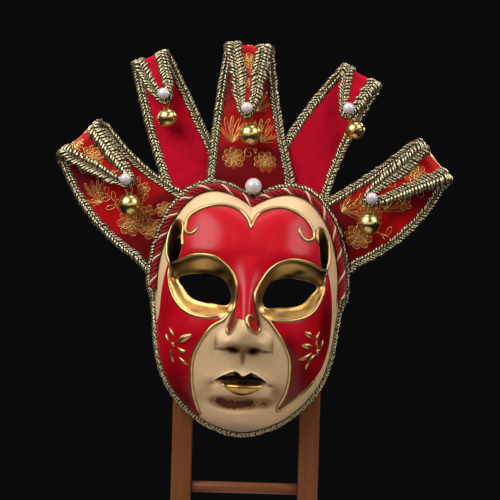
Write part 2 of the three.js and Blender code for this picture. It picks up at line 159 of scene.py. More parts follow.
# A Mix node has sockets of one name for every kind of value, so those for colours are picked by number
SHARE, UNDER, OVER, MIXED = 0, 6, 7, 2
print("linear mid grey:", round(linear("#808080")[0], 3))

# %% Studio and floor
world = bpy.data.worlds.new("dark studio")
world.use_nodes = True
world.node_tree.nodes["Background"].inputs["Color"].default_value = linear("#0b0b0c")
bpy.context.scene.world = world
bpy.context.scene.view_settings.view_transform = "Standard"

FLOOR_RADIUS, FLOOR_MIDDLE = 0.21, (0, -0.1, -0.0003)
bpy.ops.mesh.primitive_circle_add(vertices=96, radius=FLOOR_RADIUS, fill_type="NGON", location=FLOOR_MIDDLE)
floor = bpy.context.object
floor.name = "floor"
bpy.ops.object.transform_apply(location=True, rotation=True, scale=True)
# Matt painted board: pale, with a hardly visible mottling
painted_board, tree, shader = new_material("matt painted board", {"Roughness": 0.8})
BOARD_MM = 40.0
place = add_node(tree, "TexCoord", "Object")
mottle = add_node(tree, "TexNoise", "Fac", {"Vector": place, "Scale": 1 / (BOARD_MM * MM)})
board = {SHARE: mottle, UNDER: linear("#d0cdc7"), OVER: linear("#c6c3bd")}
set_inputs(tree, shader, {"Base Color": add_node(tree, "Mix", MIXED, board, data_type="RGBA")})
floor.data.materials.append(painted_board)
print("floor radius in m:", FLOOR_RADIUS)

# %% [markdown]
# ## Helpers for modelling
# Most pieces start as a grid primitive whose points are moved onto a formula, or as curves with a round
# bevel that are converted to mesh. The finished mesh keeps its place in its points, and its object stays at
# the origin.


# %% Selecting, moving points and applying modifiers
def select_only(*pieces):
    bpy.ops.object.select_all(action="DESELECT")
    for piece in pieces:
        piece.select_set(True)
    bpy.context.view_layer.objects.active = pieces[0]


def points_of(piece):
    """A piece's vertices as rows of metres."""
    flat = np.empty(3 * len(piece.data.vertices), np.float32)
    piece.data.vertices.foreach_get("co", flat)
    return flat.reshape(-1, 3).astype(float)


def move_points(piece, points):
    piece.data.vertices.foreach_set("co", np.asarray(points, np.float32).ravel())
    piece.data.update()


def finish_with(piece, kind, **settings):
    """Adds one modifier, sets it and applies it."""
    select_only(piece)
    step = piece.modifiers.new(kind.lower(), kind)
    for key, value in settings.items():
        setattr(step, key, value)
    bpy.ops.object.modifier_apply(modifier=step.name)


def in_edit_mode(piece, *steps):
    """Runs edit-mode operators on all of a piece."""
    select_only(piece)
    bpy.ops.object.mode_set(mode="EDIT")
    bpy.ops.mesh.select_all(action="SELECT")
    for step, settings in steps:
        step(**settings)
    bpy.ops.object.mode_set(mode="OBJECT")


def grid_sheet(name, columns, rows, place):
    """A grid whose points go where place(across, up) puts them, both running from 0 to 1."""
    bpy.ops.object.select_all(action="DESELECT")
    bpy.ops.mesh.primitive_grid_add(x_subdivisions=columns, y_subdivisions=rows, size=1)
    sheet = bpy.context.object
    sheet.name = sheet.data.name = name
    flat = points_of(sheet) + 0.5
    move_points(sheet, place(flat[:, 0], flat[:, 1]))
    return sheet


# %% [markdown]
# ## The face
# The real face is pressed papier-mache: a dome with a nose, sunk eyes, lips and a chin. It could be sculpted,
# but here the same tables as the construction give it, finer, so that paint lines and raised gilding can be
# laid on it exactly. First come the tables and the formula for how far the face stands in front of its rim.

# %% Tables of the face
FACE_DEPTH, FACE_FULLNESS, FACE_WALL = 62.0, 2.4, 2.2
# The rim: angle from straight up, and distance from between the eyes
RIM = [(0, 86.5), (10, 97.5), (20, 106), (30, 107.5), (45, 101), (60, 92.7), (75, 87), (90, 84), (105, 84.5),
       (120, 91), (135, 101), (150, 109.5), (165, 117), (180, 121), (195, 117)]
# An eye: angle round its middle, the cut-out's edge, and the rim of the hollow around it
EYE_X, EYE_Z, EYE_RECESS = 36.0, 8.0, 8.5
EYE = [(0, 20, 33.5), (17, 27.2, 37), (33, 21.5, 41.6), (60, 15.5, 32.5), (90, 14.5, 29.5), (120, 15.2, 27.8),
       (150, 18, 26.6), (180, 21, 28.5), (209, 23.7, 30), (235, 14.2, 30), (270, 11.5, 25), (300, 12, 26),
       (335, 15.8, 30.3)]
# The nose: height on the face, how far it stands out, half its width
NOSE = [(-51, 0, 12), (-45, 0.6, 12), (-41, 5, 12.5), (-37.5, 13, 12.5), (-31, 21.5, 12), (-22, 23, 10.5),
        (-8, 16.5, 9.5), (8, 9.5, 9), (22, 4.5, 10), (40, 0, 12)]
# The brow is smooth where the heart-shaped rim dips: the rim that its dome would have without the dip
BROW_RIM, BROW_SMOOTH_TO = [(0, 103), (15, 104.5), (30, 106)], 45.0
# Soft forms: x, z, half width, half height, rise, and how wide each shows in the hollow behind
FORMS = {
    "brow": (38, 44, 24, 10, 3, 1),
    "cheek": (46, -31, 24, 20, 4.5, 1),
    "nostril wing": (16.5, -35.5, 6.8, 6.6, 9, 0),
    "nostril": (8.4, -41.6, 5.2, 3.0, -8, 0),
    "wing crease": (25, -36, 3.2, 8, -1.8, 0),
    "groove under the nose": (0, -54, 4, 6, -1.5, 2),
    "upper lip": (7, -67, 13, 5, 2.6, 0),
    "lower lip": (0, -77, 15, 5.5, 3.2, 0),
    "mouth line": (0, -72, 22, 1.6, -2.2, 0),
    "mouth corner": (24.5, -72, 3.5, 3, -1.4, 0),
    "dip under the lip": (0, -87.5, 15, 4.5, -3, 1.6),
    "chin": (0, -102, 18, 11, 7, 1),
}
UPPER_LIP = [(-24.5, -71.5), (-20, -67.3), (-13, -63.3), (-7.5, -61), (-3.5, -62.3), (0, -64.8),
             (3.5, -63.8), (8, -61.6), (14, -64.2), (19, -67.8), (23, -71.6), (16, -71.8), (8, -71.2),
             (0, -70.8), (-9, -71.6), (-17, -72.4)]
LOWER_LIP = [(-18, -72.9), (-9, -72.2), (0, -71.4), (9, -71.8), (18.5, -72.5), (16.5, -75.8), (12, -79),
             (6, -81.7), (0, -82.8), (-5, -82), (-11, -78.8), (-16, -75.2)]
print("rows in the face's tables:", len(RIM) + len(EYE) + len(NOSE) + len(FORMS))


# %% The face's formula
def through(rows, at, column=1, period=0):
    """A smooth curve through a table's rows; with a period the table closes on itself."""
    table = np.array(rows, float)
    place, value = table[:, 0], table[:, column]
    if period:
        place = np.concatenate([place[-2:] - period, place, place[:2] + period])
        value = np.concatenate([value[-2:], value, value[:2]])
    slope = np.gradient(value, place, edge_order=1)
    slope[1:-1] = (value[2:] - value[:-2]) / (place[2:] - place[:-2])
    i = np.clip(np.searchsorted(place, at, side="right") - 1, 0, len(place) - 2)
    span = place[i + 1] - place[i]
    t = np.clip((at - place[i]) / span, 0, 1)
    near = (1 + 2 * t) * (1 - t) ** 2 * value[i] + t * (1 - t) ** 2 * span * slope[i]
    return near + t * t * (3 - 2 * t) * value[i + 1] + t * t * (t - 1) * span * slope[i + 1]


def eased(t):
    t = np.clip(t, 0, 1)
    return t * t * (3 - 2 * t)


def rim_radius(angle):
    return through(RIM, np.abs(angle))


def inside_by(x, z, outline):
    """How far points lie inside an outline, in mm; negative outside."""
    nearest = np.full(len(x), 1e9)
    inside = np.zeros(len(x), bool)
    for (ax, az), (bx, bz) in zip(outline, np.roll(outline, -1, axis=0)):
        dx, dz = bx - ax, bz - az
        t = np.clip(((x - ax) * dx + (z - az) * dz) / max(dx * dx + dz * dz, 1e-9), 0, 1)
        nearest = np.minimum(nearest, np.hypot(x - ax - t * dx, z - az - t * dz))
        if az != bz:
            inside ^= ((az > z) != (bz > z)) & (x < ax + (z - az) * dx / dz)
    return np.where(inside, nearest, -nearest)


print("rim below the chin, mm from between the eyes:", round(float(rim_radius(180.0)), 1))


# %% How far the face stands out
def smooth_line(points, step=1.0, closed=False):
    """A smooth curve through given points, with a new point about every step."""
    p = np.asarray(points, float)
    p = np.vstack([p[-1:], p, p[:2]] if closed else [2 * p[0] - p[1], p, 2 * p[-1] - p[-2]])
    runs = []
    for a, b, c, d in zip(p, p[1:], p[2:], p[3:]):
        count = max(2, int(np.linalg.norm(c - b) / step))
        t = np.linspace(0, 1, count, endpoint=False)[:, None]
        bend = (2 * a - 5 * b + 4 * c - d) * t ** 2 + (3 * b - a - 3 * c + d) * t ** 3
        runs.append(b + 0.5 * ((c - a) * t + bend))
    return np.vstack(runs if closed else runs + [p[-2:-1]])


LIPS = [smooth_line(lip, closed=True) for lip in (UPPER_LIP, LOWER_LIP)]
LIP_ROUND, LIP_RISE = 4.5, 2.6
# Where the lips lie: half the width, and the lowest and highest place
LIPS_HALF, LIPS_LOW, LIPS_HIGH = 27.0, -85.0, -59.0
# The nose's ridge, how fast forms fade in from the rim, and the nose behind: narrower, higher and flatter
NOSE_RIDGE, FADE_IN = 2.6, 6.0
HOLLOW_NARROW, HOLLOW_UP, HOLLOW_RISE = 1.3, 4.0, 0.7


def face_depth(x, z, inside=False):
    """How far the face stands in front of its rim; the hollow behind follows only the larger forms."""
    angle, radius = np.degrees(np.arctan2(x, z)), np.hypot(x, z)
    rim = rim_radius(angle)
    brow_end = BROW_RIM[-1][0]
    brow = through(BROW_RIM, np.minimum(np.abs(angle), brow_end)) * (np.abs(angle) < brow_end)
    smooth_rim = np.maximum(rim, brow)
    dipped = eased((radius - BROW_SMOOTH_TO) / (rim - BROW_SMOOTH_TO))
    share = np.minimum(radius / (smooth_rim + (rim - smooth_rim) * dipped), 1)
    nose_x, nose_z, nose_rise = x, z, 1.0
    if inside:
        nose_x, nose_z, nose_rise = HOLLOW_NARROW * x, z - HOLLOW_UP, HOLLOW_RISE
    slim = np.exp(-np.abs(nose_x / through(NOSE, nose_z, 2)) ** NOSE_RIDGE)
    relief = nose_rise * through(NOSE, nose_z, 1) * slim
    across, up = np.abs(x) - EYE_X, z - EYE_Z
    turn = np.degrees(np.arctan2(up, across)) % 360
    hole, hollow = through(EYE, turn, 1, 360), through(EYE, turn, 2, 360)
    relief = relief - EYE_RECESS * eased((hollow - np.hypot(across, up)) / (hollow - hole))
    for fx, fz, wide, high, rise, behind in FORMS.values():
        spread = behind if inside else 1
        for side in (-1, 1) if fx and spread else (1,) if spread else ():
            sideways, upward = (x - side * fx) / wide / spread, (z - fz) / high / spread
            relief = relief + rise * np.exp(-sideways ** 2 - upward ** 2)
    if not inside:
        for lip in LIPS:
            near = (np.abs(x) < LIPS_HALF) & (z > LIPS_LOW) & (z < LIPS_HIGH)
            deep = np.clip(inside_by(x[near], z[near], lip) / LIP_ROUND, 0, 1)
            relief[near] += LIP_RISE * np.sqrt(1 - (1 - deep) ** 2)
    return FACE_DEPTH * np.sqrt(1 - share ** FACE_FULLNESS) + eased((1 - share) * FADE_IN) * relief


# Rings on a ball of the wall's thickness: how far out they lie, and how far forward
WALL_RINGS = ((0.7, 0.714), (1, 0))


def hollow_depth(x, z):
    """The hollow behind keeps an even wall where the front is steep."""
    depth = np.minimum(face_depth(x, z, True), face_depth(x, z)) - FACE_WALL
    for reach, rise in WALL_RINGS:
        for turn in np.radians(np.arange(0, 360, 45)):
            dx, dz = FACE_WALL * reach * np.cos(turn), FACE_WALL * reach * np.sin(turn)
            depth = np.minimum(depth, face_depth(x + dx, z + dz, True) - FACE_WALL * rise)
    return depth


nose_tip = face_depth(np.array([0.0]), np.array([-24.0]))[0]
print("nose tip in front of the rim, mm:", round(nose_tip, 1))

# %% [markdown]
# The shell is two grids wrapped round into domes, one for the front and one for the hollow, bridged along
# the rim. The eye holes are then cut through with a boolean, as a maker cuts them with a knife.


# %% The shell
# How much the spokes crowd towards the chin, and the rings towards the rim
SPOKE_CROWD, RING_CROWD = 0.25, 1.2


def wrapped_dome(name, inset, depth_at, faces_in, spokes=288, rings=104):
    """A grid wrapped round into a dome, whose faces point out to the front or in to the hollow."""
    def place(across, up):
        turn = 2 * np.pi * across
        angle = np.pi - turn + SPOKE_CROWD * np.sin(turn)
        radius = (rim_radius(np.degrees(angle)) - inset) * (1 - up ** RING_CROWD)
        x, z = radius * np.sin(angle), radius * np.cos(angle)
        return to_row(np.column_stack([x, np.where(up > 0, -np.maximum(depth_at(x, z), 0), 0), z]))

    dome = grid_sheet(name, spokes, rings, place)
    in_edit_mode(
        dome,
        (bpy.ops.mesh.remove_doubles, dict(threshold=WELD)),
        (bpy.ops.mesh.normals_make_consistent, dict(inside=faces_in)),
    )
    return dome


face = wrapped_dome("painted_face", 0, face_depth, faces_in=False)
hollow = wrapped_dome("hollow", FACE_WALL, hollow_depth, faces_in=True)
select_only(face, hollow)
bpy.ops.object.join()
in_edit_mode(
    face,
    (bpy.ops.mesh.select_all, dict(action="DESELECT")),
    (bpy.ops.mesh.select_mode, dict(type="EDGE")),
    (bpy.ops.mesh.select_non_manifold, dict()),
    (bpy.ops.mesh.bridge_edge_loops, dict()),
    (bpy.ops.mesh.select_mode, dict(type="VERT")),
)
print("shell faces:", len(face.data.polygons))

# %% Eye holes
EYE_CUT_FRONT, EYE_CUT_BACK = -130.0, -18.0
for side in (-1, 1):
    bpy.ops.object.select_all(action="DESELECT")
    bpy.ops.mesh.primitive_circle_add(vertices=120, radius=1, fill_type="NGON")
    cutter = bpy.context.object
    rim = points_of(cutter)
    turn = np.degrees(np.arctan2(rim[:, 1], rim[:, 0])) % 360
    hole = through(EYE, turn, 1, 360)
    for _ in range(4):
        hole = (np.roll(hole, 1) + 2 * hole + np.roll(hole, -1)) / 4
    x = side * (EYE_X + hole * np.cos(np.radians(turn)))
    z = EYE_Z + hole * np.sin(np.radians(turn))
    move_points(cutter, to_row(np.column_stack([x, np.full(len(x), EYE_CUT_FRONT), z])))
    in_edit_mode(
        cutter,
        (bpy.ops.mesh.extrude_region_move,
         dict(TRANSFORM_OT_translate=dict(value=(0, (EYE_CUT_BACK - EYE_CUT_FRONT) * MM, 0)))),
        (bpy.ops.mesh.select_all, dict(action="SELECT")),
        (bpy.ops.mesh.normals_make_consistent, dict(inside=False)),
    )
    finish_with(face, "BOOLEAN", object=cutter, operation="DIFFERENCE", solver="EXACT")
    bpy.data.objects.remove(cutter)
select_only(face)
bpy.ops.object.shade_smooth_by_angle(angle=math.radians(45))
print("shell faces after cutting the eyes:", len(face.data.polygons))

# %% [markdown]
# ## The painted design
# The design is drawn as a few smooth lines on the face, seen from the front: a heart over the brow, the rims
# of the eye sockets, the muzzle and the jaw. Between the lines lie red lacquer, gold leaf and ivory. How far
# each vertex lies inside a field of colour is kept as an attribute, because a distance stays sharp between
# vertices where a painted vertex colour would blur.

# %% Lines of the design
HEART_LEFT = [(-47, 62.8), (-48.5, 59.5), (-51, 57.2), (-54.5, 56.3), (-57.2, 58.5), (-58, 62.5), (-57, 68),
              (-54, 73), (-47, 78), (-40, 81), (-30, 83.3), (-20, 82.8), (-12, 80.3), (-6, 76), (-2, 70.5),
              (0, 64.5)]
HEART_RIGHT = [(0, 64.5), (2, 70.5), (5, 76), (10, 80), (17, 82.7), (25, 84), (32, 83.2), (40, 80),
               (47, 75.5), (52, 70), (55, 65), (56.2, 60.5), (54.2, 57.3), (50, 56.3), (46.5, 58),
               (44, 61.5), (42.8, 65.5), (44.5, 68.3)]
SOCKET_LEFT = [(-69, 29.5), (-66, 30), (-60, 32.8), (-50, 37.5), (-40, 38.8), (-30, 37.4), (-25, 34.6),
               (-18, 29), (-13, 23), (-10, 16.5), (-9, 10), (-9, 4), (-9.8, -3), (-11, -10), (-13.2, -18),
               (-15.2, -24.5), (-13.8, -28), (-11, -25), (-8.8, -19), (-7, -14.2)]
SOCKET_RIGHT = [(69, 30), (66, 30.5), (62, 32.6), (55, 36), (47, 38.2), (38, 38.8), (30, 36.6), (24, 33.5),
                (18, 28), (13, 20.5), (9, 13.5), (7, 8), (7, 2), (8.3, -4), (10, -10), (11.8, -17),
                (12.3, -23), (10.5, -26.2), (6.5, -24.2), (3, -20.5), (1.2, -16), (1.2, -12.5),
                (3.5, -10.8), (6.2, -12.2), (6.4, -14.6)]
UNDER_LEFT = [(-70.5, 25), (-70.3, 17), (-68.3, 8), (-65, 0.5), (-60, -6), (-55, -10.2), (-50, -12.8),
              (-45, -14.4), (-38, -15.3), (-30, -15.4), (-25, -13.8)]
UNDER_RIGHT = [(68.3, 25), (67.8, 17), (66.8, 9), (64.3, 2), (60, -4.8), (55, -9.3), (50, -11.8), (42, -14),
               (35, -14.9), (28, -15.3), (24, -14.9)]
MUZZLE_LEFT = [(-15.5, -12), (-19, -16.8), (-24, -19.8), (-30, -24.5), (-35, -31.5), (-40, -40), (-43, -47),
               (-44.6, -55), (-44.8, -63), (-44, -75), (-42, -86), (-39.3, -95), (-36, -104)]
MUZZLE_RIGHT = [(12.5, -9), (16, -12.3), (20.5, -15.8), (24, -20), (30, -28), (35, -35.3), (39, -43),
                (41, -50), (41.6, -58), (41.2, -68), (39.5, -78), (36, -86.5), (32.8, -93.5)]
JAW_RIGHT = [(32.8, -93.5), (33.5, -96), (36, -95), (40, -91.3), (46, -86.6), (52, -81), (58, -75),
             (64, -67.5)]
TEMPLE_LEFT = [(-66, 67.5), (-70, 63.5), (-73, 55), (-74, 45), (-73, 36), (-70, 29.5), (-66, 29.5), (-63, 32),
               (-61, 38), (-59.5, 46), (-60, 55), (-59.8, 61), (-62, 66)]
TEMPLE_RIGHT = [(61, 67.5), (59, 64), (59.5, 57), (61.5, 50), (62, 44), (63, 37), (65, 32), (68, 30.5),
                (70, 34), (71.2, 42), (70.5, 52), (68, 60), (64.5, 66)]
CHEEK_EDGE_LEFT = [(-71.5, 30), (-74, 20), (-75.6, 10), (-76.6, 0), (-77.2, -10), (-78.5, -20), (-83, -28),
                   (-95, -34)]
CHEEK_EDGE_RIGHT = [(70.5, 30), (73, 20), (75, 10), (76.2, 0), (77, -10), (77, -20), (76.6, -30), (75.4, -40),
                    (73, -50), (69.5, -59), (64, -67.5)]
BELOW_CHEEK = [(-95, -70), (-70, -112), (-36, -118)]
print("points in the heart:", len(HEART_LEFT) + len(HEART_RIGHT))


# %% Fields of colour
def drawn(*parts):
    """One outline from stretches of line, each made smooth by itself so that corners stay sharp."""
    return np.vstack([smooth_line(part) for part in parts])


FOREHEAD = drawn(HEART_LEFT[5:], HEART_RIGHT[:12], TEMPLE_RIGHT[2:7], SOCKET_RIGHT[2:21],
                 SOCKET_LEFT[:1:-1], TEMPLE_LEFT[7:12])
CHEEK_LEFT = drawn(UNDER_LEFT, MUZZLE_LEFT[1:], BELOW_CHEEK[::-1], CHEEK_EDGE_LEFT[::-1])
CHEEK_RIGHT = drawn(UNDER_RIGHT, MUZZLE_RIGHT[2:], JAW_RIGHT, CHEEK_EDGE_RIGHT[::-1])
EYE_GOLD_LEFT = drawn(SOCKET_LEFT[:14], [(-15.5, -12), (-20, -13)], UNDER_LEFT[::-1])
EYE_GOLD_RIGHT = drawn(SOCKET_RIGHT[:15], [(12.5, -9), (18, -13.5)], UNDER_RIGHT[::-1])
RED_FIELDS = [FOREHEAD, CHEEK_LEFT, CHEEK_RIGHT]
GOLD_FIELDS = [EYE_GOLD_LEFT, EYE_GOLD_RIGHT, *LIPS,
               smooth_line(TEMPLE_LEFT, closed=True), smooth_line(TEMPLE_RIGHT, closed=True)]
RAISED = [HEART_LEFT, HEART_RIGHT, SOCKET_LEFT, SOCKET_RIGHT, UNDER_LEFT, UNDER_RIGHT,
          MUZZLE_LEFT, MUZZLE_RIGHT, JAW_RIGHT,
          TEMPLE_LEFT[5::-1] + TEMPLE_LEFT[:8:-1] + [(-61, 54), (-64.5, 51.5)],
          TEMPLE_RIGHT[7:] + TEMPLE_RIGHT[:3] + [(61.5, 54)]]
print("fields of colour:", len(RED_FIELDS) + len(GOLD_FIELDS))

# %% Washes and painted shade over the paint
# Brown wash, in x, z, half width, half height, strength: an antiquing stain under the lower lip and in the
# groove under the nose that makes the face look old, and painted shade round that stain, in the nostrils,
# under and beside the nose's wings, at the mouth's corners, beside the muzzle and under the chin
UMBER_AND_SHADE = [(-8, -92, 13, 3.8, 1.2), (-19, -88.5, 7, 3.2, 0.8), (8, -91, 7, 3.4, 0.65),
         (21.5, -89.5, 5, 4, 0.6), (3, -88, 27, 6, 0.45), (-29, -77, 6, 8, 0.25), (29, -78, 6, 7, 0.3),
         (-25.5, -73, 4, 1.6, 0.3), (25, -72.8, 4, 1.6, 0.35), (-0.6, -46.5, 3.4, 3, 0.3),
         (-0.4, -51, 2.6, 5.5, 0.5), (-11, -41.6, 6, 2.0, 1.2), (8.8, -41.6, 6, 2.0, 1.2),
         (0, -43.8, 7, 1.6, 0.4), (-20, -42.4, 5, 1.3, 0.7), (19.5, -42.8, 5, 1.3, 0.7),
         (0, -39, 20, 3.2, 0.15), (-25, -36, 1.3, 7, 0.45), (24.8, -36, 1.3, 7, 0.35),
         (0, -118, 40, 6, 0.15), (-38, -84, 8, 20, 0.2), (36, -80, 8, 18, 0.2)]
# The same columns for painted shade: a dark tint over the red towards the outer and lower edges of the cheeks
# and beside the nose
RED_SHADE = [(-60, -72, 20, 24, 0.65), (52, -66, 18, 26, 0.85), (38, -38, 8, 16, 0.65), (-42, -36, 7, 14, 0.35),
         (-72, -14, 7, 26, 0.45), (72, -20, 8, 30, 1.0), (-48, -98, 20, 16, 0.8), (40, -88, 10, 10, 0.8)]
# And where the gold leaf darkens: partly tarnish, partly painted shade and painted dark reflection on the
# upper lids, the temples and the lips
TARNISH_AND_SHADE = [(0, -66.6, 30, 5.1, 1.5), (0, -82.6, 7, 2.0, 1.0), (-9, -80.6, 4, 1.6, 0.7),
           (9, -80.9, 4, 1.6, 0.7), (-14.5, -77.2, 3.4, 1.5, 0.7), (14.5, -77.6, 3.4, 1.5, 0.7),
           (-2, -77, 1.5, 4, 0.4), (-67, 46, 8, 20, 1.5), (66, 47, 8, 20, 1.5), (-40, 23, 8, 3, 0.6),
           (-25, 24.5, 9, 5, 0.75), (-15, 16, 4, 7, 0.6), (-52, 18, 5, 2, 0.4), (45, 28, 8, 4, 0.75),
           (35, 24.5, 8, 3, 0.6), (21, 17, 5, 6, 0.5), (-66, 4, 4, 10, 0.4), (64, 6, 4, 10, 0.4),
           (-44, -11, 8, 2.5, 0.5), (31, -11, 8, 2.5, 0.45), (-12, 2, 4, 12, 0.5), (12, 2, 4, 12, 0.5)]
# Painted shade: a thin grey-brown tint over the ivory under the nose and beside its wings, under the lower
# lip, on the chin, beside the muzzle and on the nose's right side
IVORY_SHADE = [(-1, -38.5, 16, 3.6, 0.9), (-23.5, -38, 2.6, 6, 0.6), (23.5, -38, 2.6, 6, 0.6),
        (0, -87.5, 22, 5, 0.5), (0, -116, 42, 9, 0.8), (-38, -84, 8, 20, 0.35), (36, -80, 8, 18, 0.45),
        (15, -22, 4, 12, 0.35)]
print("washes:", len(UMBER_AND_SHADE) + len(RED_SHADE) + len(TARNISH_AND_SHADE) + len(IVORY_SHADE))


# %% Distances, washes and painted shade, kept for every vertex
def keep(piece, name, values):
    """Keeps a number for every vertex, for the materials to read."""
    piece.data.attributes.new(name, "FLOAT", "POINT").data.foreach_set("value", values.astype(np.float32))


x, _, z = to_mask(points_of(face)).T
for name, fields in (("red", RED_FIELDS), ("gold", GOLD_FIELDS)):
    deep = np.max([inside_by(x, z, field) for field in fields], axis=0)
    keep(face, name, deep)
    print("vertices in", name + ":", int((deep > 0).sum()))
track = np.vstack([smooth_line(line, step=2.0) for line in RAISED])
keep(face, "from_line", np.min([np.hypot(x - px, z - pz) for px, pz in track], axis=0))
for name, washes in (("umber_and_shade", UMBER_AND_SHADE), ("red_shade", RED_SHADE), ("tarnish", TARNISH_AND_SHADE), ("ivory_shade", IVORY_SHADE)):
    total = np.zeros(len(x))
    for ax, az, wide, high, strength in washes:
        total += strength * np.exp(-((x - ax) / wide) ** 2 - ((z - az) / high) ** 2)
    keep(face, name, total)

# %% [markdown]
# ## Lacquer, gold leaf and bare paper
# The front is gesso painted ivory, red lacquer and imitation gold leaf, all under one clear varnish. One
# material mixes them by the attributes. The back is bare papier-mache: matt, fibrous and a little grey.

# %% Varnished paint
# Smooth varnish over brushed paint: deep red, warm mottled ivory, and leaf that mirrors the dark studio
varnished_paint, tree, shader = new_material(
    "varnished gesso paint", {"Specular IOR Level": 0.17, "Coat Weight": 0.1, "Coat Roughness": 0.2})
BRUSH_MM, BLOT_MM, MOTTLE_MM, CRACKLE_MM = 3.0, 3.4, 14.0, 1.2
place = add_node(tree, "TexCoord", "Object")
brushed = add_node(tree, "Mapping", "Vector", {"Vector": place, "Scale": (1, 1, 0.25)})
brush = add_node(tree, "TexNoise", "Fac", {"Vector": brushed, "Scale": 1 / (BRUSH_MM * MM), "Detail": 3.0})
blot = add_node(tree, "TexNoise", "Fac", {"Vector": place, "Scale": 1 / (BLOT_MM * MM), "Detail": 5.0})
mottle = add_node(tree, "TexNoise", "Fac", {"Vector": place, "Scale": 1 / (MOTTLE_MM * MM), "Detail": 4.0})
crackle = add_node(tree, "TexNoise", "Fac", {"Vector": place, "Scale": 1 / (CRACKLE_MM * MM)})
print("made:", varnished_paint.name)

# %% Shares of the paint
# Attribute, the values where its share starts and where it is full, and the strength of a full share
SHARES = [("red", -0.15, 0.25, 1.0), ("gold", -0.2, 0.3, 1.0), ("from_line", 2.6, 1.2, 0.75),
          ("ivory_shade", 0.05, 1.0, 0.7), ("red_shade", 0.05, 1.0, 0.85), ("umber_and_shade", 0.05, 0.5, 0.85),
          ("tarnish", 0.1, 0.85, 1.0)]
kept, share = {}, {}
for name, start, full, strength in SHARES:
    kept[name] = add_node(tree, "Attribute", "Fac", attribute_name=name)
    ends = {"Value": kept[name], "From Min": start, "From Max": full, "To Max": strength}
    share[name] = add_node(tree, "MapRange", "Result", ends, interpolation_type="SMOOTHSTEP")
share["brush"] = add_node(tree, "Math", "Value", {0: brush, 1: 0.5}, operation="MULTIPLY")
# Where the wash is thickest it pools in ragged dark marks: a real stain under the lower lip, and painted
# shade in the nostrils and under the nose's wings
ragged = add_node(tree, "Math", "Value", {0: blot, 1: 1.4, 2: kept["umber_and_shade"]}, operation="MULTIPLY_ADD")
ends = {"Value": ragged, "From Min": 1.2, "From Max": 1.7}
share["pooled"] = add_node(tree, "MapRange", "Result", ends, interpolation_type="SMOOTHSTEP")
print("shares:", ", ".join(share))

# %% Colours, gloss and brush marks
# Each paint is a first colour and the layers over it, and each layer has its own share
PAINTS = {
    # Ivory with brush marks, darkened by painted shade under the nose, the lips and the chin
    "ivory": ("#e9c699", (mottle, "#d3a572"), (share["brush"], "#e6ceaa"), (share["ivory_shade"], "#5a4634")),
    # Red, darkened towards the cheeks' outer and lower edges by painted shade
    "red": ("#a80616", (mottle, "#c40a20"), (share["red_shade"], "#480306")),
    # Gold leaf, darkened partly by tarnish and partly by painted shade and painted dark reflection
    "leaf": ("#b08040", (mottle, "#d8ac68"), (share["tarnish"], "#140b05")),
}
colour = {}
for name, (first, *layers) in PAINTS.items():
    colour[name] = linear(first)
    for part, tint in layers:
        layer = {SHARE: part, UNDER: colour[name], OVER: linear(tint)}
        colour[name] = add_node(tree, "Mix", MIXED, layer, data_type="RGBA")
paint = colour["ivory"]
# A dark brown band along every raised line: partly antiquing, partly painted shade beside the relief
for part, tint in ((share["red"], colour["red"]), (share["from_line"], linear("#3a1c10")),
                   # The ochre of the brown wash and its darkest pools: a real stain under the lip, painted
                   # shade in the nostrils, under the nose and round the mouth
                   (share["umber_and_shade"], linear("#86541c")), (share["pooled"], linear("#421a04")),
                   (share["gold"], colour["leaf"])):
    paint = add_node(tree, "Mix", MIXED, {SHARE: part, UNDER: paint, OVER: tint}, data_type="RGBA")
satin = add_node(tree, "MapRange", "Result", {"Value": share["gold"], "To Min": 0.28, "To Max": 0.3})
gloss = add_node(tree, "Math", "Value", {0: crackle, 1: 0.14, 2: satin}, operation="MULTIPLY_ADD")
gloss = add_node(tree, "Math", "Value", {0: share["pooled"], 1: 0.4, 2: gloss}, operation="MULTIPLY_ADD")
bump = add_node(tree, "Bump", "Normal", {"Height": brush, "Strength": 0.25, "Distance": 0.15 * MM})
set_inputs(tree, shader, {"Base Color": paint, "Metallic": share["gold"], "Roughness": gloss, "Normal": bump})


def dress(piece, material, slot, *nodes):
    """Gives a finished piece its material and hides the solids that it stands for; the slot is not used."""
    piece.data.materials.clear()
    piece.data.materials.append(material)
    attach(piece, "root")
    if nodes:
        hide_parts(*nodes)


dress(face, varnished_paint, "lacquered_face", "face_shell")
print("paints:", ", ".join(PAINTS))

# %% Bare papier-mache behind
# Pressed paper pulp: matt, warm grey, with soft lumps and short fibres
paper_pulp, tree, shader = new_material("bare papier-mache", {"Roughness": 0.9})
PULP_MM, FIBRE_MM = 6.0, 1.5
place = add_node(tree, "TexCoord", "Object")
lumps = add_node(tree, "TexNoise", "Fac", {"Vector": place, "Scale": 1 / (PULP_MM * MM), "Detail": 5.0})
fibres = add_node(tree, "TexNoise", "Fac", {"Vector": place, "Scale": 1 / (FIBRE_MM * MM), "Detail": 3.0})
pulp = {SHARE: lumps, UNDER: linear("#cfc3ae"), OVER: linear("#b3a58d")}
pulp = add_node(tree, "Mix", MIXED, pulp, data_type="RGBA")
bump = add_node(tree, "Bump", "Normal", {"Height": fibres, "Strength": 0.5, "Distance": 0.4 * MM})
set_inputs(tree, shader, {"Base Color": pulp, "Normal": bump})
face.data.materials.append(paper_pulp)
middles = np.empty(3 * len(face.data.polygons), np.float32)
face.data.polygons.foreach_get("center", middles)
middles = to_mask(middles)
# Faces this far behind the front, or this near to the rim's plane, are bare
BEHIND_FRONT, RIM_PLANE = 1.5, -0.3
behind = middles[:, 1] + face_depth(middles[:, 0], middles[:, 2]) > BEHIND_FRONT
behind |= middles[:, 1] > RIM_PLANE
face.data.polygons.foreach_set("material_index", behind.astype(np.int32))
print("faces of bare paper:", int(behind.sum()))

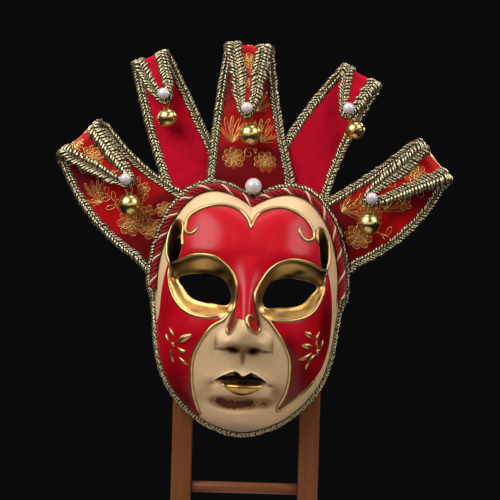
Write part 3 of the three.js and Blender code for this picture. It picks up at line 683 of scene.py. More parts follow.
# %% [markdown]
# ## Raised gilding
# The lines and leaf sprays stand up from the paint: the maker pipes thick gesso from a bag and gilds it.
# Round strands with a changing radius do the same: each follows the surface with its middle sunk in it, and
# thins towards its ends.

# %% Lines and leaves on the face
LINE_RADIUS, LINE_END = 1.4, 6.0
LEAF_SINK, LEAF_SWELL = 0.05, 1.55
# Strokes of the leaf sprays: points and weight; the radius at the thickest place is LEAF_SWELL times that
LEAVES = [
    ([(-66.8, -27.8), (-64, -31.5), (-61, -35.8)], 1.1),
    ([(-58.5, -39.2), (-54, -36.5), (-50, -33.8), (-46.3, -31.6)], 2.1),
    ([(-58.2, -44.3), (-55, -46.4), (-50.5, -46.8)], 1.3),
    ([(-56, -53), (-52.5, -56), (-47.5, -58.8)], 1.2),
    ([(-69.5, -33.5), (-68.2, -37.5), (-66, -41)], 1.0),
    ([(-64, -46.5), (-63.5, -52), (-61.5, -58)], 1.3),
    ([(-63.5, -40.5), (-62, -42), (-60.5, -43.5)], 1.5),
    ([(52.3, -24), (55.5, -25.8), (59, -28.6)], 1.8),
    ([(50.3, -36), (54.5, -35.8), (60.3, -37.2)], 1.8),
    ([(48.3, -48.2), (53, -47), (59.8, -42.3)], 1.3),
    ([(65.8, -23.5), (63.6, -28), (63.8, -33), (65, -38.5)], 1.1),
    ([(66, -43), (61, -45.8), (57, -51), (55.5, -57)], 1.2),
    ([(69.5, -31), (68.3, -36), (66.8, -41)], 1.0),
    ([(63.8, -39.5), (65.3, -40.8), (66.5, -42)], 1.4),
]


def tubes(name, lines, sides=6):
    """Round strands along lines of (points in mask mm, radius at each point), converted to one mesh."""
    curve = bpy.data.curves.new(name, "CURVE")
    curve.dimensions = "3D"
    curve.bevel_depth = MM
    curve.bevel_resolution = (sides - 4) // 2
    curve.use_fill_caps = True
    for points, radius in lines:
        spline = curve.splines.new("POLY")
        spline.points.add(len(points) - 1)
        row = np.column_stack([to_row(points), np.ones(len(points))])
        spline.points.foreach_set("co", row.astype(np.float32).ravel())
        spline.points.foreach_set("radius", np.broadcast_to(radius, len(points)).astype(np.float32))
    made = bpy.data.objects.new(name, curve)
    bpy.context.collection.objects.link(made)
    select_only(made)
    bpy.ops.object.convert(target="MESH")
    return bpy.context.object


def on_face(line, sink=0.25):
    """A line seen from the front, laid on the face and sunk in it a little."""
    x, z = line.T
    return np.column_stack([x, sink - face_depth(x, z), z])


def swelling(count, thick, thin=0.25, ends=0.15):
    """A radius that grows from a thin end, stays thick and thins again."""
    t = np.linspace(0, 1, count)
    return thick * (thin + (1 - thin) * np.sqrt(eased(np.minimum(t, 1 - t) / ends)))


piped = []
for line in RAISED:
    path = smooth_line(line, step=1.0)
    piped.append((on_face(path), swelling(len(path), LINE_RADIUS, ends=LINE_END / len(path))))
for stroke, thick in LEAVES:
    path = smooth_line(stroke, step=0.6)
    radius = swelling(len(path), LEAF_SWELL * thick, ends=0.5)
    piped.append((on_face(path, sink=LEAF_SINK * thick), radius))
gilding = tubes("raised_gilding", piped, sides=8)
select_only(gilding)
bpy.ops.object.shade_smooth()
# Gilded gesso: bright where it catches the light, a little rough from the brush
gilded_gesso, tree, shader = new_material("gilded gesso", {"Metallic": 1.0})
WORN_MM = 5.0
place = add_node(tree, "TexCoord", "Object")
worn = add_node(tree, "TexNoise", "Fac", {"Vector": place, "Scale": 1 / (WORN_MM * MM), "Detail": 3.0})
gilt = {SHARE: worn, UNDER: linear("#e0c084"), OVER: linear("#a87c3c")}
gilt = add_node(tree, "Mix", MIXED, gilt, data_type="RGBA")
gloss = add_node(tree, "MapRange", "Result", {"Value": worn, "To Min": 0.3, "To Max": 0.45})
set_inputs(tree, shader, {"Base Color": gilt, "Roughness": gloss})
dress(gilding, gilded_gesso, "lacquered_face")
print("piped lines and strokes:", len(piped))

# %% [markdown]
# ## Horns of cloth
# Each horn is a long stiffened strip that rises from behind the rim, folds over forward and hangs down to a
# tip. It could be draped by simulation, but stiff buckram does not hang: the maker bends it. So each strip
# is a grid laid along a path of panel, fold and tip, a little padded, and then given its thickness.

# %% The five horns
HORN_COLUMNS = ("name", "cloth", "x", "z", "lean", "layer", "length", "root", "middle", "shoulder", "fold",
                "bow", "bend", "slant", "tip", "drift", "reach", "swing", "bell_size")
HORN_ROWS = [
    ("outer_left", "brocade", -78, 60, -47.2, -9,
     112.4, 31, 26.5, 20, 14, -7.7, 9, -0.1, 51.5, 6, 3, 5, 1.08),
    ("inner_left", "velvet", -54, 107, -23.6, -3.5,
     117, 20, 16.3, 10.3, 7.4, -0.6, 6.5, 0, 34, 0.5, 4, 8, 0.94),
    ("middle", "brocade", -3.5, 112, -3.8, -9,
     117.8, 30.7, 21.6, 14, 11.5, -1.8, 6.5, -0.1, 54.8, -2.5, 4, 10, 1.08),
    ("inner_right", "velvet", 39, 104, 26.7, -3.5,
     118.2, 22.5, 17.6, 12.8, 10, -4.3, 6.5, 0, 31, 5, 4, 27, 0.94),
    ("outer_right", "brocade", 78.4, 63, 49, -9,
     111.2, 25.7, 24.8, 17.8, 13, 5.8, 9, 0, 61.9, -8, 3, 2.5, 1.08),
]
HORNS = [dict(zip(HORN_COLUMNS, row)) for row in HORN_ROWS]
TUCKED_IN, TIP_HALF, RAKE = 30.0, 1.4, math.radians(3)
CLOTH_THICK, CLOTH_PUFF, PUFF_HALF = 2.0, 1.2, 12.0
# Slack in the cloth: its wave along the strip in mm, how the wave slants across, and its height
SLACK_WAVE, SLACK_SLANT, SLACK = 9.0, 2.1, 0.25
print("horns:", len(HORNS))


# %% A horn's path, and points on its cloth
def horn_path(horn, panel=80, fold=26, tip=44):
    """A horn along its length, in its own frame: middle, half width, directions, and run from its root."""
    start = horn["length"] - horn["bend"]
    s = np.linspace(-TUCKED_IN, start, panel)
    t = np.clip(s / start, 0, 1)
    y = horn["layer"] + np.maximum(s, 0) * math.tan(RAKE)
    bulge = (4 * horn["middle"] - horn["root"] - horn["shoulder"]) / 2
    half = (1 - t) ** 2 * horn["root"] + 2 * t * (1 - t) * bulge + t * t * horn["shoulder"]
    rising = np.column_stack([4 * horn["bow"] * t * (1 - t), y, s])
    turn = np.linspace(0, np.pi, fold + 1)[1:]
    low = y[-1] - horn["bend"]
    over = np.column_stack([0 * turn, low + horn["bend"] * np.cos(turn), start + horn["bend"] * np.sin(turn)])
    t = np.linspace(0, 1, tip + 1)[1:]
    out = low - horn["bend"] - horn["reach"] * t
    hanging = np.column_stack([horn["drift"] * t, out, start - horn["tip"] * t])
    middle = np.vstack([rising, over, hanging])
    narrowing = horn["shoulder"] + (horn["fold"] - horn["shoulder"]) * eased(turn / np.pi)
    half = np.concatenate([half, narrowing, horn["fold"] + (TIP_HALF - horn["fold"]) * t])
    ahead = np.gradient(middle, axis=0)
    ahead[:, 0] = 0
    ahead /= np.linalg.norm(ahead, axis=1)[:, None]
    facing = np.column_stack([0 * half, -ahead[:, 2], ahead[:, 1]])
    steps = np.linalg.norm(np.diff(middle, axis=0), axis=1)
    run = np.concatenate([[0], np.cumsum(steps)]) - TUCKED_IN
    return dict(middle=middle, half=half, ahead=ahead, facing=facing, run=run)


def horn_to_mask(horn, points, turn_only=False):
    """From a horn's own frame to the mask's, with the slant of its fold; directions are only turned."""
    lean = math.radians(horn["lean"])
    turned = np.array([[math.cos(lean), 0, -math.sin(lean)], [0, 1, 0], [math.sin(lean), 0, math.cos(lean)]])
    if turn_only:
        return points @ turned
    rise = horn["slant"] * points[:, 0] * eased(points[:, 2] / horn["length"])
    return (points + rise[:, None] * np.array([0, 0, 1.0])) @ turned + (horn["x"], 0, horn["z"])


def at_run(path, run, key):
    """A path's values at lengths along it."""
    rows = path[key]
    if rows.ndim == 1:
        return np.interp(run, path["run"], rows)
    return np.column_stack([np.interp(run, path["run"], column) for column in rows.T])


def on_cloth(horn, path, share, run, lift=0.0):
    """Points on a horn's padded cloth: share across from -1 to 1, run along it, lift off its face."""
    half = at_run(path, run, "half")
    loose = np.sin(run / SLACK_WAVE + SLACK_SLANT * share + horn["lean"]) * (1 - share ** 2)
    puff = CLOTH_PUFF * (1 - share ** 2) * np.clip(half / PUFF_HALF, 0, 1) + SLACK * loose
    sideways = (share * half)[:, None] * np.array([1.0, 0, 0])
    point = at_run(path, run, "middle") + sideways + at_run(path, run, "facing") * (puff + lift)[:, None]
    return horn_to_mask(horn, point)


PATHS = {horn["name"]: horn_path(horn) for horn in HORNS}
for horn in HORNS:
    print(horn["name"], "cloth length in mm:", round(PATHS[horn["name"]]["run"][-1]))

# %% The outline of the face, for trimming what is tucked behind the rim
PLUG_GAP, PLUG_FRONT, PLUG_DEEP = 0.4, -40.0, 70.0
bpy.ops.object.select_all(action="DESELECT")
bpy.ops.mesh.primitive_circle_add(vertices=144, radius=1, fill_type="NGON")
face_plug = bpy.context.object
rim = points_of(face_plug)
angle = np.degrees(np.arctan2(rim[:, 0], rim[:, 1]))
radius = rim_radius(angle) + PLUG_GAP
x, z = radius * np.sin(np.radians(angle)), radius * np.cos(np.radians(angle))
move_points(face_plug, to_row(np.column_stack([x, np.full(len(x), PLUG_FRONT), z])))
in_edit_mode(
    face_plug,
    (bpy.ops.mesh.extrude_region_move, dict(TRANSFORM_OT_translate=dict(value=(0, PLUG_DEEP * MM, 0)))),
    (bpy.ops.mesh.select_all, dict(action="SELECT")),
    (bpy.ops.mesh.normals_make_consistent, dict(inside=False)),
)
print("faces of the trimming plug:", len(face_plug.data.polygons))

# %% Cut, pad and thicken the cloth
# Columns of the grid, and how far the cloth goes on under its braid, as a share of its half width
CLOTH_COLUMNS, CLOTH_UNDER = 64, 1.04
horn_cloths = {}
for horn in HORNS:
    path = PATHS[horn["name"]]
    rows = np.linspace(0, 1, len(path["run"]))
    flat = {}

    def place(across, up):
        flat["run"] = np.interp(up, rows, path["run"])
        flat["across"] = (2 * across - 1) * at_run(path, flat["run"], "half")
        return to_row(on_cloth(horn, path, CLOTH_UNDER * (2 * across - 1), flat["run"]))

    cloth = grid_sheet(f"cloth_{horn['name']}", CLOTH_COLUMNS, len(rows) - 1, place)
    keep(cloth, "run", flat["run"])
    keep(cloth, "across", flat["across"])
    uv = np.empty(2 * len(cloth.data.loops), np.float32)
    cloth.data.uv_layers[0].data.foreach_get("uv", uv)
    uv = uv.reshape(-1, 2).astype(float)
    run = np.interp(uv[:, 1], rows, path["run"])
    across = (2 * uv[:, 0] - 1) * at_run(path, run, "half")
    cloth.data.uv_layers[0].data.foreach_set("uv", np.column_stack([across, run]).astype(np.float32).ravel())
    finish_with(cloth, "SOLIDIFY", thickness=CLOTH_THICK * MM, offset=0)
    in_edit_mode(cloth, (bpy.ops.mesh.normals_make_consistent, dict(inside=False)))
    finish_with(cloth, "BOOLEAN", object=face_plug, operation="DIFFERENCE", solver="EXACT")
    select_only(cloth)
    bpy.ops.object.shade_smooth_by_angle(angle=math.radians(50))
    horn_cloths[horn["name"]] = cloth
    print(cloth.name, "faces:", len(cloth.data.polygons))

# %% [markdown]
# ## Velvet and brocade
# Velvet is a pile of short upright threads: it is dark face on and lights up where it turns away, which sheen
# gives. Brocade has a satin ground: long floating threads with a soft gloss, so a fine line bump runs along
# the strip. Both read the cloth's own UV map, which holds millimetres.

# %% Cotton velvet
# Short upright pile: deep crimson face on, with a soft bloom where it turns away
velvet, tree, shader = new_material("cotton velvet", {
    "Roughness": 0.9, "Specular IOR Level": 0.08, "Sheen Weight": 0.1, "Sheen Roughness": 0.4,
    "Sheen Tint": linear("#c01030")})
NAP_MM, PILE_MM = 9.0, 0.9
cut = add_node(tree, "UVMap", "UV")
nap = add_node(tree, "TexNoise", "Fac", {"Vector": cut, "Scale": 1 / NAP_MM, "Detail": 4.0})
nap = add_node(tree, "MapRange", "Result", {"Value": nap, "From Min": 0.35, "From Max": 0.65})
pile = add_node(tree, "TexNoise", "Fac", {"Vector": cut, "Scale": 1 / PILE_MM})
raised = add_node(tree, "Math", "Value", {0: pile, 1: 0.35}, operation="MULTIPLY")
crimson = linear("#a4051d")
for part, tint in ((nap, "#b80722"), (raised, "#c40c2c")):
    layer = {SHARE: part, UNDER: crimson, OVER: linear(tint)}
    crimson = add_node(tree, "Mix", MIXED, layer, data_type="RGBA")
bump = add_node(tree, "Bump", "Normal", {"Height": pile, "Strength": 0.6, "Distance": 0.3 * MM})
set_inputs(tree, shader, {"Base Color": crimson, "Normal": bump})
print("made:", velvet.name)

# %% Silk brocade
# A satin ground of long floats: scarlet with a soft gloss, darker at the root, with painted shade on the
# panel just under the fold
brocade, tree, shader = new_material("silk brocade", {"Roughness": 0.42, "Specular IOR Level": 0.1})
# Real threads are about 0.2 mm; they are drawn coarser so that they show. At a scale of 1 a wave is 0.31 long
THREAD_MM, SHADE_MM, WAVE_AT_ONE = 0.7, 16.0, 0.31
cut = add_node(tree, "UVMap", "UV")
weave = {"Vector": cut, "Scale": WAVE_AT_ONE / THREAD_MM, "Distortion": 1.5}
floats = add_node(tree, "TexWave", "Fac", weave, wave_type="BANDS", bands_direction="X")
glint = add_node(tree, "Math", "Value", {0: floats, 1: 0.3}, operation="MULTIPLY")
shade = add_node(tree, "TexNoise", "Fac", {"Vector": cut, "Scale": 1 / SHADE_MM, "Detail": 3.0})
shade = add_node(tree, "MapRange", "Result", {"Value": shade, "From Min": 0.35, "From Max": 0.65})
# Attribute, the values where its share starts and where it is full, and the strength of a full share
share = {}
for name, key, start, full, strength in (("root", "run", 30, 20, 0.8), ("into fold", "run", 58, 86, 0.8),
                                         ("out of fold", "run", 124, 112, 1.0),
                                         ("figure", "figure", -0.3, 0.4, 1.0)):
    value = add_node(tree, "Attribute", "Fac", attribute_name=key)
    ends = {"Value": value, "From Min": start, "From Max": full, "To Max": strength}
    share[name] = add_node(tree, "MapRange", "Result", ends, interpolation_type="SMOOTHSTEP")
# Painted shade on the panel below the fold, where the hanging flap covers it
shade_in_fold = {0: share["into fold"], 1: share["out of fold"]}
shade_in_fold = add_node(tree, "Math", "Value", shade_in_fold, operation="MULTIPLY")
shown = add_node(tree, "MapRange", "Result", {"Value": floats, "To Min": 0.2, "To Max": 0.55})
woven = add_node(tree, "Math", "Value", {0: share["figure"], 1: shown}, operation="MULTIPLY")
tone = add_node(tree, "Attribute", "Fac", attribute_name="figure_tone")
silk = {SHARE: tone, UNDER: linear("#b83a18"), OVER: linear("#d8a050")}
silk = add_node(tree, "Mix", MIXED, silk, data_type="RGBA")
scarlet = linear("#800508")
for part, tint in ((shade, linear("#b2080c")), (glint, linear("#cc1012")), (share["root"], linear("#4e0408")),
                   (shade_in_fold, linear("#4c0418")), (woven, silk)):
    scarlet = add_node(tree, "Mix", MIXED, {SHARE: part, UNDER: scarlet, OVER: tint}, data_type="RGBA")
bump = add_node(tree, "Bump", "Normal", {"Height": floats, "Strength": 0.35, "Distance": 0.15 * MM})
set_inputs(tree, shader, {"Base Color": scarlet, "Normal": bump})
print("made:", brocade.name)

# %% The cloths and their flat size
# What is cut beyond the rim, to be glued behind it
SEAM = 6.0
for horn in HORNS:
    cloth = horn_cloths[horn["name"]]
    path = PATHS[horn["name"]]
    dress(cloth, velvet if horn["cloth"] == "velvet" else brocade, horn["cloth"], f"horn_{horn['name']}")
    shown = path["run"] > -SEAM
    half, run = path["half"][shown], path["run"][shown]
    flat = (2 * half.max() * MM, (run[-1] - run[0]) * MM)

# %% [markdown]
# ## Gold figures in the brocade
# The brocade is figured with blossoms, leaf sprays and tendrils in gold thread. A pattern in the material
# would be flat, so the outlines are laid as fine raised threads, drawn once as flat motifs in millimetres and
# then placed on the cloth by its own length and width.


# %% Motifs
def petal(long, wide, count=13):
    """A pointed oval that starts and ends at its stalk."""
    t = np.linspace(0, 2 * np.pi, count)
    return np.column_stack([wide / 2 * np.sin(t) * np.sin(t / 2) ** 0.5, long * (1 - np.cos(t)) / 2])


def turned(line, degrees):
    a = math.radians(degrees)
    return line @ np.array([[math.cos(a), math.sin(a)], [-math.sin(a), math.cos(a)]])


def bloom(size):
    """A peony: rings of broad petals, from orange outside to gold round its eye."""
    shapes = []
    for count, inner, outer, wide, start, tone in ((8, 0.4, 1.0, 0.6, 0, 0.2), (7, 0.2, 0.7, 0.46, 20, 0.5),
                                                   (5, 0.0, 0.42, 0.36, 8, 0.95)):
        for i in range(count):
            one = petal((outer - inner) * size, wide * size) + (0, inner * size)
            shapes.append((turned(one, 360 * i / count + start), tone))
    return shapes


def spray(size):
    """A bent stem with leaves on both sides, drawn in outline."""
    t = np.linspace(0, 1, 14)
    stem = np.column_stack([0.35 * size * np.sin(2.2 * t), size * t])
    shapes = [(stem, None)]
    for i, side in ((2, 1), (4, -1), (6, 1), (8, -1), (10, 1), (12, -1)):
        leaf = petal(0.42 * size * (1 - 0.4 * t[i]), 0.17 * size)
        shapes.append((turned(leaf, -side * 52) + stem[i], None))
    shapes.append((petal(0.34 * size, 0.16 * size) + stem[-1], 0.6))
    return shapes


def feather(size):
    """A leaf cut into curved strokes that spread from one foot, every other one filled."""
    shapes = []
    for i in range(7):
        stroke = petal(size * (1 - 0.05 * abs(i - 3)), 0.15 * size)
        stroke[:, 0] += 0.25 * size * (stroke[:, 1] / size) ** 2
        shapes.append((turned(stroke, 17 * (i - 3)), 0.8 if i % 2 else None))
    return shapes


def tendril(size):
    """A curl that winds in on itself, with a bud."""
    t = np.linspace(0, 1, 26)
    r = size * (0.55 - 0.45 * t)
    curl = np.column_stack([r * np.cos(7.5 * t), r * np.sin(7.5 * t)])
    return [(curl, None), (petal(0.4 * size, 0.25 * size) + curl[0], 0.7)]


def star_flower(size):
    """Five round petals."""
    return [(turned(petal(size, 0.75 * size), 72 * i), 0.35) for i in range(5)]


MOTIFS = dict(bloom=bloom, spray=spray, feather=feather, tendril=tendril, star=star_flower)
print("motifs:", ", ".join(MOTIFS))

# %% Where the motifs lie
# Motif, place across and along the strip in mm, turn in degrees, size
FIGURES = {
    "outer_left": [("bloom", -12, 24, 0, 13), ("bloom", -6, 6, 10, 11), ("spray", -13, 36, 14, 26),
                   ("tendril", -3, 40, 40, 12), ("feather", -16, 56, 20, 22), ("star", 4, 22, 0, 7),
                   ("spray", 6, 30, -25, 20), ("star", 18, 40, 10, 6), ("tendril", 14, 62, 90, 10),
                   ("spray", -4, 70, 10, 24), ("bloom", 15, 12, 0, 8), ("tendril", -12, 88, 0, 9),
                   ("feather", 3, 92, -20, 16), ("spray", -5, 124, 170, 19), ("bloom", 2, 146, 0, 10),
                   ("tendril", -3, 168, 0, 8), ("feather", 6, 122, 10, 14)],
    "middle": [("feather", -14, 30, 12, 24), ("feather", 12, 30, -22, 24), ("bloom", -14, 16, 0, 10),
               ("bloom", 14, 12, 20, 10), ("tendril", 0, 20, 0, 11), ("star", 0, 40, 0, 7),
               ("spray", -8, 58, 4, 24), ("feather", 9, 58, -10, 20), ("tendril", 9, 88, 60, 9),
               ("star", -8, 92, 0, 6), ("spray", -3, 100, 10, 16), ("feather", 0, 122, 180, 16),
               ("bloom", 0, 142, 0, 9), ("star", 0, 160, 0, 5)],
    "outer_right": [("bloom", -8, 40, 0, 14), ("feather", -17, 16, 6, 22), ("bloom", 10, 14, 0, 12),
                    ("spray", 14, 30, -24, 26), ("feather", 4, 48, 30, 20), ("star", 9, 66, 0, 7),
                    ("spray", -10, 60, 16, 22), ("tendril", 13, 84, 120, 10), ("tendril", -16, 62, 0, 9),
                    ("star", -9, 90, 0, 6), ("bloom", 4, 92, 0, 9), ("feather", 5, 124, 170, 17),
                    ("bloom", 0, 146, 0, 10), ("tendril", 2, 168, 0, 8)],
}
print("figures:", sum(map(len, FIGURES.values())))

# %% Threads of a figure
THREAD_RADIUS, EDGE_SHARE, TIP_GAP = 0.34, 0.97, 3.0
# Where the threads start along each strip in mm, and how far below its top they still show on both sides
FIRST_THREAD = {"middle": 8.0, "outer_left": -2.0, "outer_right": -2.0}
BELOW_TOP = 8.0
THREAD_LIFT = CLOTH_THICK / 2 + 0.1


def flat_shapes(figure):
    """The lines of one motif on the flat cloth, across and along in mm, each with the tone that fills it."""
    kind, across, run, degrees, size = figure
    return [(turned(line, degrees) + (across, run), tone) for line, tone in MOTIFS[kind](size)]


def lay_figure(horn, path, figure, side):
    """The threads of one motif, laid on one side of the cloth and cut off at its edges."""
    laid = []
    for flat, _ in flat_shapes(figure):
        share = side * flat[:, 0] / at_run(path, flat[:, 1], "half")
        low, high = FIRST_THREAD[horn["name"]], path["run"][-1] - TIP_GAP
        good = (np.abs(share) < EDGE_SHARE) & (flat[:, 1] > low) & (flat[:, 1] < high)
        for stretch in np.split(np.arange(len(flat)), np.flatnonzero(np.diff(good.astype(int))) + 1):
            if good[stretch[0]] and len(stretch) > 2:
                points = on_cloth(horn, path, share[stretch], flat[stretch, 1], side * THREAD_LIFT)
                laid.append((points, THREAD_RADIUS))
    return laid


def weave_figures(horn, cloth, path):
    """Keeps how far each vertex of the cloth lies inside a petal or leaf, and which of its silks it has."""
    normals = np.empty(3 * len(cloth.data.vertices), np.float32)
    cloth.data.vertices.foreach_get("normal", normals)
    run, across = (np.empty(len(cloth.data.vertices), np.float32) for _ in range(2))
    cloth.data.attributes["run"].data.foreach_get("value", run)
    cloth.data.attributes["across"].data.foreach_get("value", across)
    facing = horn_to_mask(horn, at_run(path, run, "facing"), turn_only=True) @ ROLL
    side = np.sign(np.einsum("ij,ij->i", normals.reshape(-1, 3), facing))
    x, z = side * across, run
    inside, tone = np.full(len(run), -5.0), np.zeros(len(run))
    for figure in FIGURES[horn["name"]]:
        for line, shade in flat_shapes(figure):
            low, high = line.min(axis=0) - 1, line.max(axis=0) + 1
            near = np.flatnonzero((x > low[0]) & (x < high[0]) & (z > low[1]) & (z < high[1]))
            if len(near) and shade is not None:
                deep = inside_by(x[near], z[near], line[:-1])
                better = near[deep > inside[near]]
                inside[better] = deep[deep > inside[near]]
                tone[better] = shade
    keep(cloth, "figure", inside)
    keep(cloth, "figure_tone", tone)


print("thread radius in mm:", THREAD_RADIUS)

# %% Gilt thread
# Gilt thread wound on a yellow core: a soft metal gloss, redder in patches
gilt_thread, tree, shader = new_material("gilt silk thread", {"Metallic": 0.8, "Roughness": 0.28})
PATCH_MM = 7.0
place = add_node(tree, "TexCoord", "Object")
patchy = add_node(tree, "TexNoise", "Fac", {"Vector": place, "Scale": 1 / (PATCH_MM * MM), "Detail": 3.0})
gilt = {SHARE: patchy, UNDER: linear("#f4cc80"), OVER: linear("#d08c40")}
set_inputs(tree, shader, {"Base Color": add_node(tree, "Mix", MIXED, gilt, data_type="RGBA")})
for horn in HORNS:
    if horn["name"] in FIGURES:
        path = PATHS[horn["name"]]
        weave_figures(horn, horn_cloths[horn["name"]], path)
        threads = []
        for figure in FIGURES[horn["name"]]:
            on_panel = figure[2] < horn["length"] - BELOW_TOP
            for side in (1, -1) if on_panel else (-1,):
                threads += lay_figure(horn, path, figure, side)
        figures = tubes(f"gold_figures_{horn['name']}", threads, sides=4)
        dress(figures, gilt_thread, "brocade")
        print(figures.name, "threads:", len(threads))

# %% [markdown]
# ## Gimp braid
# The braid is plaited from thick metallic cords: two columns of slanting loops that meet in a row of
# chevrons, on a core coloured dark as painted shade. One loop is modelled once, with few faces, and copied
# along both edges of every horn and round the face. Copies are made with arrays, because there are thousands
# of them.

# %% One loop of the plait
# Across from the middle, ahead along the braid, and up off its core
LOOP_POINTS = [(3.4, -1.0, -1.2), (4.1, 0.0, 0.4), (2.9, 1.2, 1.9), (0.9, 2.7, 1.8), (-0.7, 3.8, -0.4)]
THREAD_OFFSETS, THREAD_THICK = (-0.38, 0.38), 0.42
LOOP_PITCH, BRAID_HALF = 2.9, 4.5
# How uneven the loops are in size, as a share, and along the braid, in mm
UNEVEN, STRAY = 0.2, 0.5
uneven = np.random.default_rng(7)
# The core under the loops, coloured dark as painted shade between them: where its strands lie across the
# braid, and their radius
CORE_SHARES, CORE_RADIUS = (-0.66, -0.33, 0.0, 0.33, 0.66), 1.5
loop_curve = bpy.data.curves.new("loop", "CURVE")
loop_curve.dimensions = "3D"
loop_curve.bevel_depth = THREAD_THICK
loop_curve.bevel_resolution = 0
loop_curve.use_fill_caps = True
for offset in THREAD_OFFSETS:
    spline = loop_curve.splines.new("POLY")
    spline.points.add(len(LOOP_POINTS) - 1)
    for point, (across, ahead, up) in zip(spline.points, LOOP_POINTS):
        point.co = (across, ahead + offset, up, 1)
loop = bpy.data.objects.new("loop", loop_curve)
bpy.context.collection.objects.link(loop)
select_only(loop)
bpy.ops.object.convert(target="MESH")
loop = bpy.context.object
in_edit_mode(
    loop,
    (bpy.ops.mesh.tris_convert_to_quads, dict(face_threshold=math.pi, shape_threshold=math.pi)),
    (bpy.ops.mesh.normals_make_consistent, dict(inside=False)),
)
loop_points = points_of(loop)
loop_faces = np.array([list(side.vertices) for side in loop.data.polygons])
loop_crown = (loop_points[:, 2] - loop_points[:, 2].min()) / np.ptp(loop_points[:, 2])
bpy.data.objects.remove(loop)
print("faces of one loop:", len(loop_faces))


# %% Laying the plait along a path
def plait(name, middle, out, up, half, two_sided=True):
    """A braid along a middle line in mask mm, with directions out to its edge and up off its face."""
    steps = np.linalg.norm(np.diff(middle, axis=0), axis=1)
    run = np.concatenate([[0], np.cumsum(steps)])
    ahead = np.gradient(middle, axis=0)
    ahead /= np.linalg.norm(ahead, axis=1)[:, None]
    stations = np.arange(0.5 * LOOP_PITCH, run[-1] - LOOP_PITCH, LOOP_PITCH)

    def at(rows, where):
        return np.column_stack([np.interp(where, run, column) for column in rows.T])[:, None]

    blocks, faces, count = [], [], 0
    for column in (1, -1):
        start = 0.5 * LOOP_PITCH if column < 0 else 0
        where = stations + start + uneven.uniform(-STRAY, STRAY, len(stations))
        wide = uneven.uniform(1 - UNEVEN, 1 + UNEVEN, len(where))
        reach = column * np.interp(where, run, half) / BRAID_HALF * wide
        spread = at(out, where) * reach[:, None, None]
        forward = at(ahead, where)
        for side in (1, -1) if two_sided else (1,):
            off = side * at(up, where) * uneven.uniform(1 - UNEVEN, 1 + UNEVEN, len(where))[:, None, None]
            x, y, z = (loop_points[None, :, i:i + 1] for i in range(3))
            copies = at(middle, where) + x * spread + y * forward + z * off
            handed = np.einsum("ijk,ijk->i", np.cross(spread, forward), off) > 0
            corners = np.where(handed[:, None, None], loop_faces, loop_faces[:, ::-1])
            first = count + len(loop_points) * np.arange(len(where))
            faces.append((corners + first[:, None, None]).reshape(-1, loop_faces.shape[1]))
            blocks.append(copies.reshape(-1, 3))
            count += len(blocks[-1])
    mesh = bpy.data.meshes.new(name)
    mesh.from_pydata(to_row(np.vstack(blocks)), [], np.vstack(faces).tolist())
    loops = bpy.data.objects.new(name, mesh)
    bpy.context.collection.objects.link(loops)
    keep(loops, "crown", np.tile(loop_crown, count // len(loop_crown)))
    core_lines = [(middle + out * (share * half)[:, None], CORE_RADIUS) for share in CORE_SHARES]
    return loops, tubes(name + "_core", core_lines, sides=4)


print("loops in 100 mm of one column:", round(100 / LOOP_PITCH))

# %% Metal-wound cord
# Metal-wound cord, a little tarnished: pale khaki gold on the ridges with painted glints, and painted shade,
# dark brown, down in the gaps and on the core
metal_cord, tree, shader = new_material("metal-wound gimp cord", {})
WINDING_MM, TARNISH_MM = 0.6, 5.0
place = add_node(tree, "TexCoord", "Object")
winding = add_node(tree, "TexNoise", "Fac", {"Vector": place, "Scale": 1 / (WINDING_MM * MM)})
tarnish = add_node(tree, "TexNoise", "Fac", {"Vector": place, "Scale": 1 / (TARNISH_MM * MM), "Detail": 3.0})
# Pale specks on the winding: painted glints
glint_specks = add_node(tree, "Math", "Value", {0: winding, 1: 0.5}, operation="MULTIPLY")
crown = add_node(tree, "Attribute", "Fac", attribute_name="crown")
ends = {"Value": crown, "From Min": 0.4, "From Max": 0.95}
on_ridge = add_node(tree, "MapRange", "Result", ends, interpolation_type="SMOOTHSTEP")
gilt = linear("#dccb98")
for part, tint in ((tarnish, "#947f50"), (glint_specks, "#f2ead0")):
    layer = {SHARE: part, UNDER: gilt, OVER: linear(tint)}
    gilt = add_node(tree, "Mix", MIXED, layer, data_type="RGBA")
# Low on each loop, and on the core, which has no crown, the cord takes the dark brown of painted shade
cord = add_node(tree, "Mix", MIXED, {SHARE: on_ridge, UNDER: linear("#463a22"), OVER: gilt}, data_type="RGBA")
metal = add_node(tree, "MapRange", "Result", {"Value": on_ridge, "To Min": 0.3, "To Max": 0.9})
gloss = add_node(tree, "MapRange", "Result", {"Value": on_ridge, "To Min": 0.8, "To Max": 0.27})
bump = add_node(tree, "Bump", "Normal", {"Height": winding, "Strength": 0.5, "Distance": 0.2 * MM})
set_inputs(tree, shader, {"Base Color": cord, "Metallic": metal, "Roughness": gloss, "Normal": bump})
print("made:", metal_cord.name)

# %% Braid on the horns
# How far the braid reaches out from the cloth's edge, how far in over it on the hanging flap, its half width
# at the tip, and how far from the face's outline its two ends stop, behind the rim's own braid
BRAID_OUT, TURN_HALF, RIM_GAP = 9.0, 1.9, 1.0
FLAP_COVER = {"brocade": 6.0, "velvet": 3.9}
# Where the braid moves in over the flap and over what length, and how much it narrows towards the tip
COVER_FROM, COVER_OVER, SLIM, SLIM_OVER = 8.0, 12.0, 2.6, 14.0
FULL_HALF, EDGE_GAP = 8.0, 0.3


def finish_braid(loops, core, node):
    """Joins the plait and its core into one piece."""
    select_only(loops, core)
    bpy.ops.object.join()
    select_only(loops)
    bpy.ops.object.shade_smooth()
    dress(loops, metal_cord, "metallic_braid", node)
    print(loops.name, "triangles:", sum(len(p.vertices) - 2 for p in loops.data.polygons))


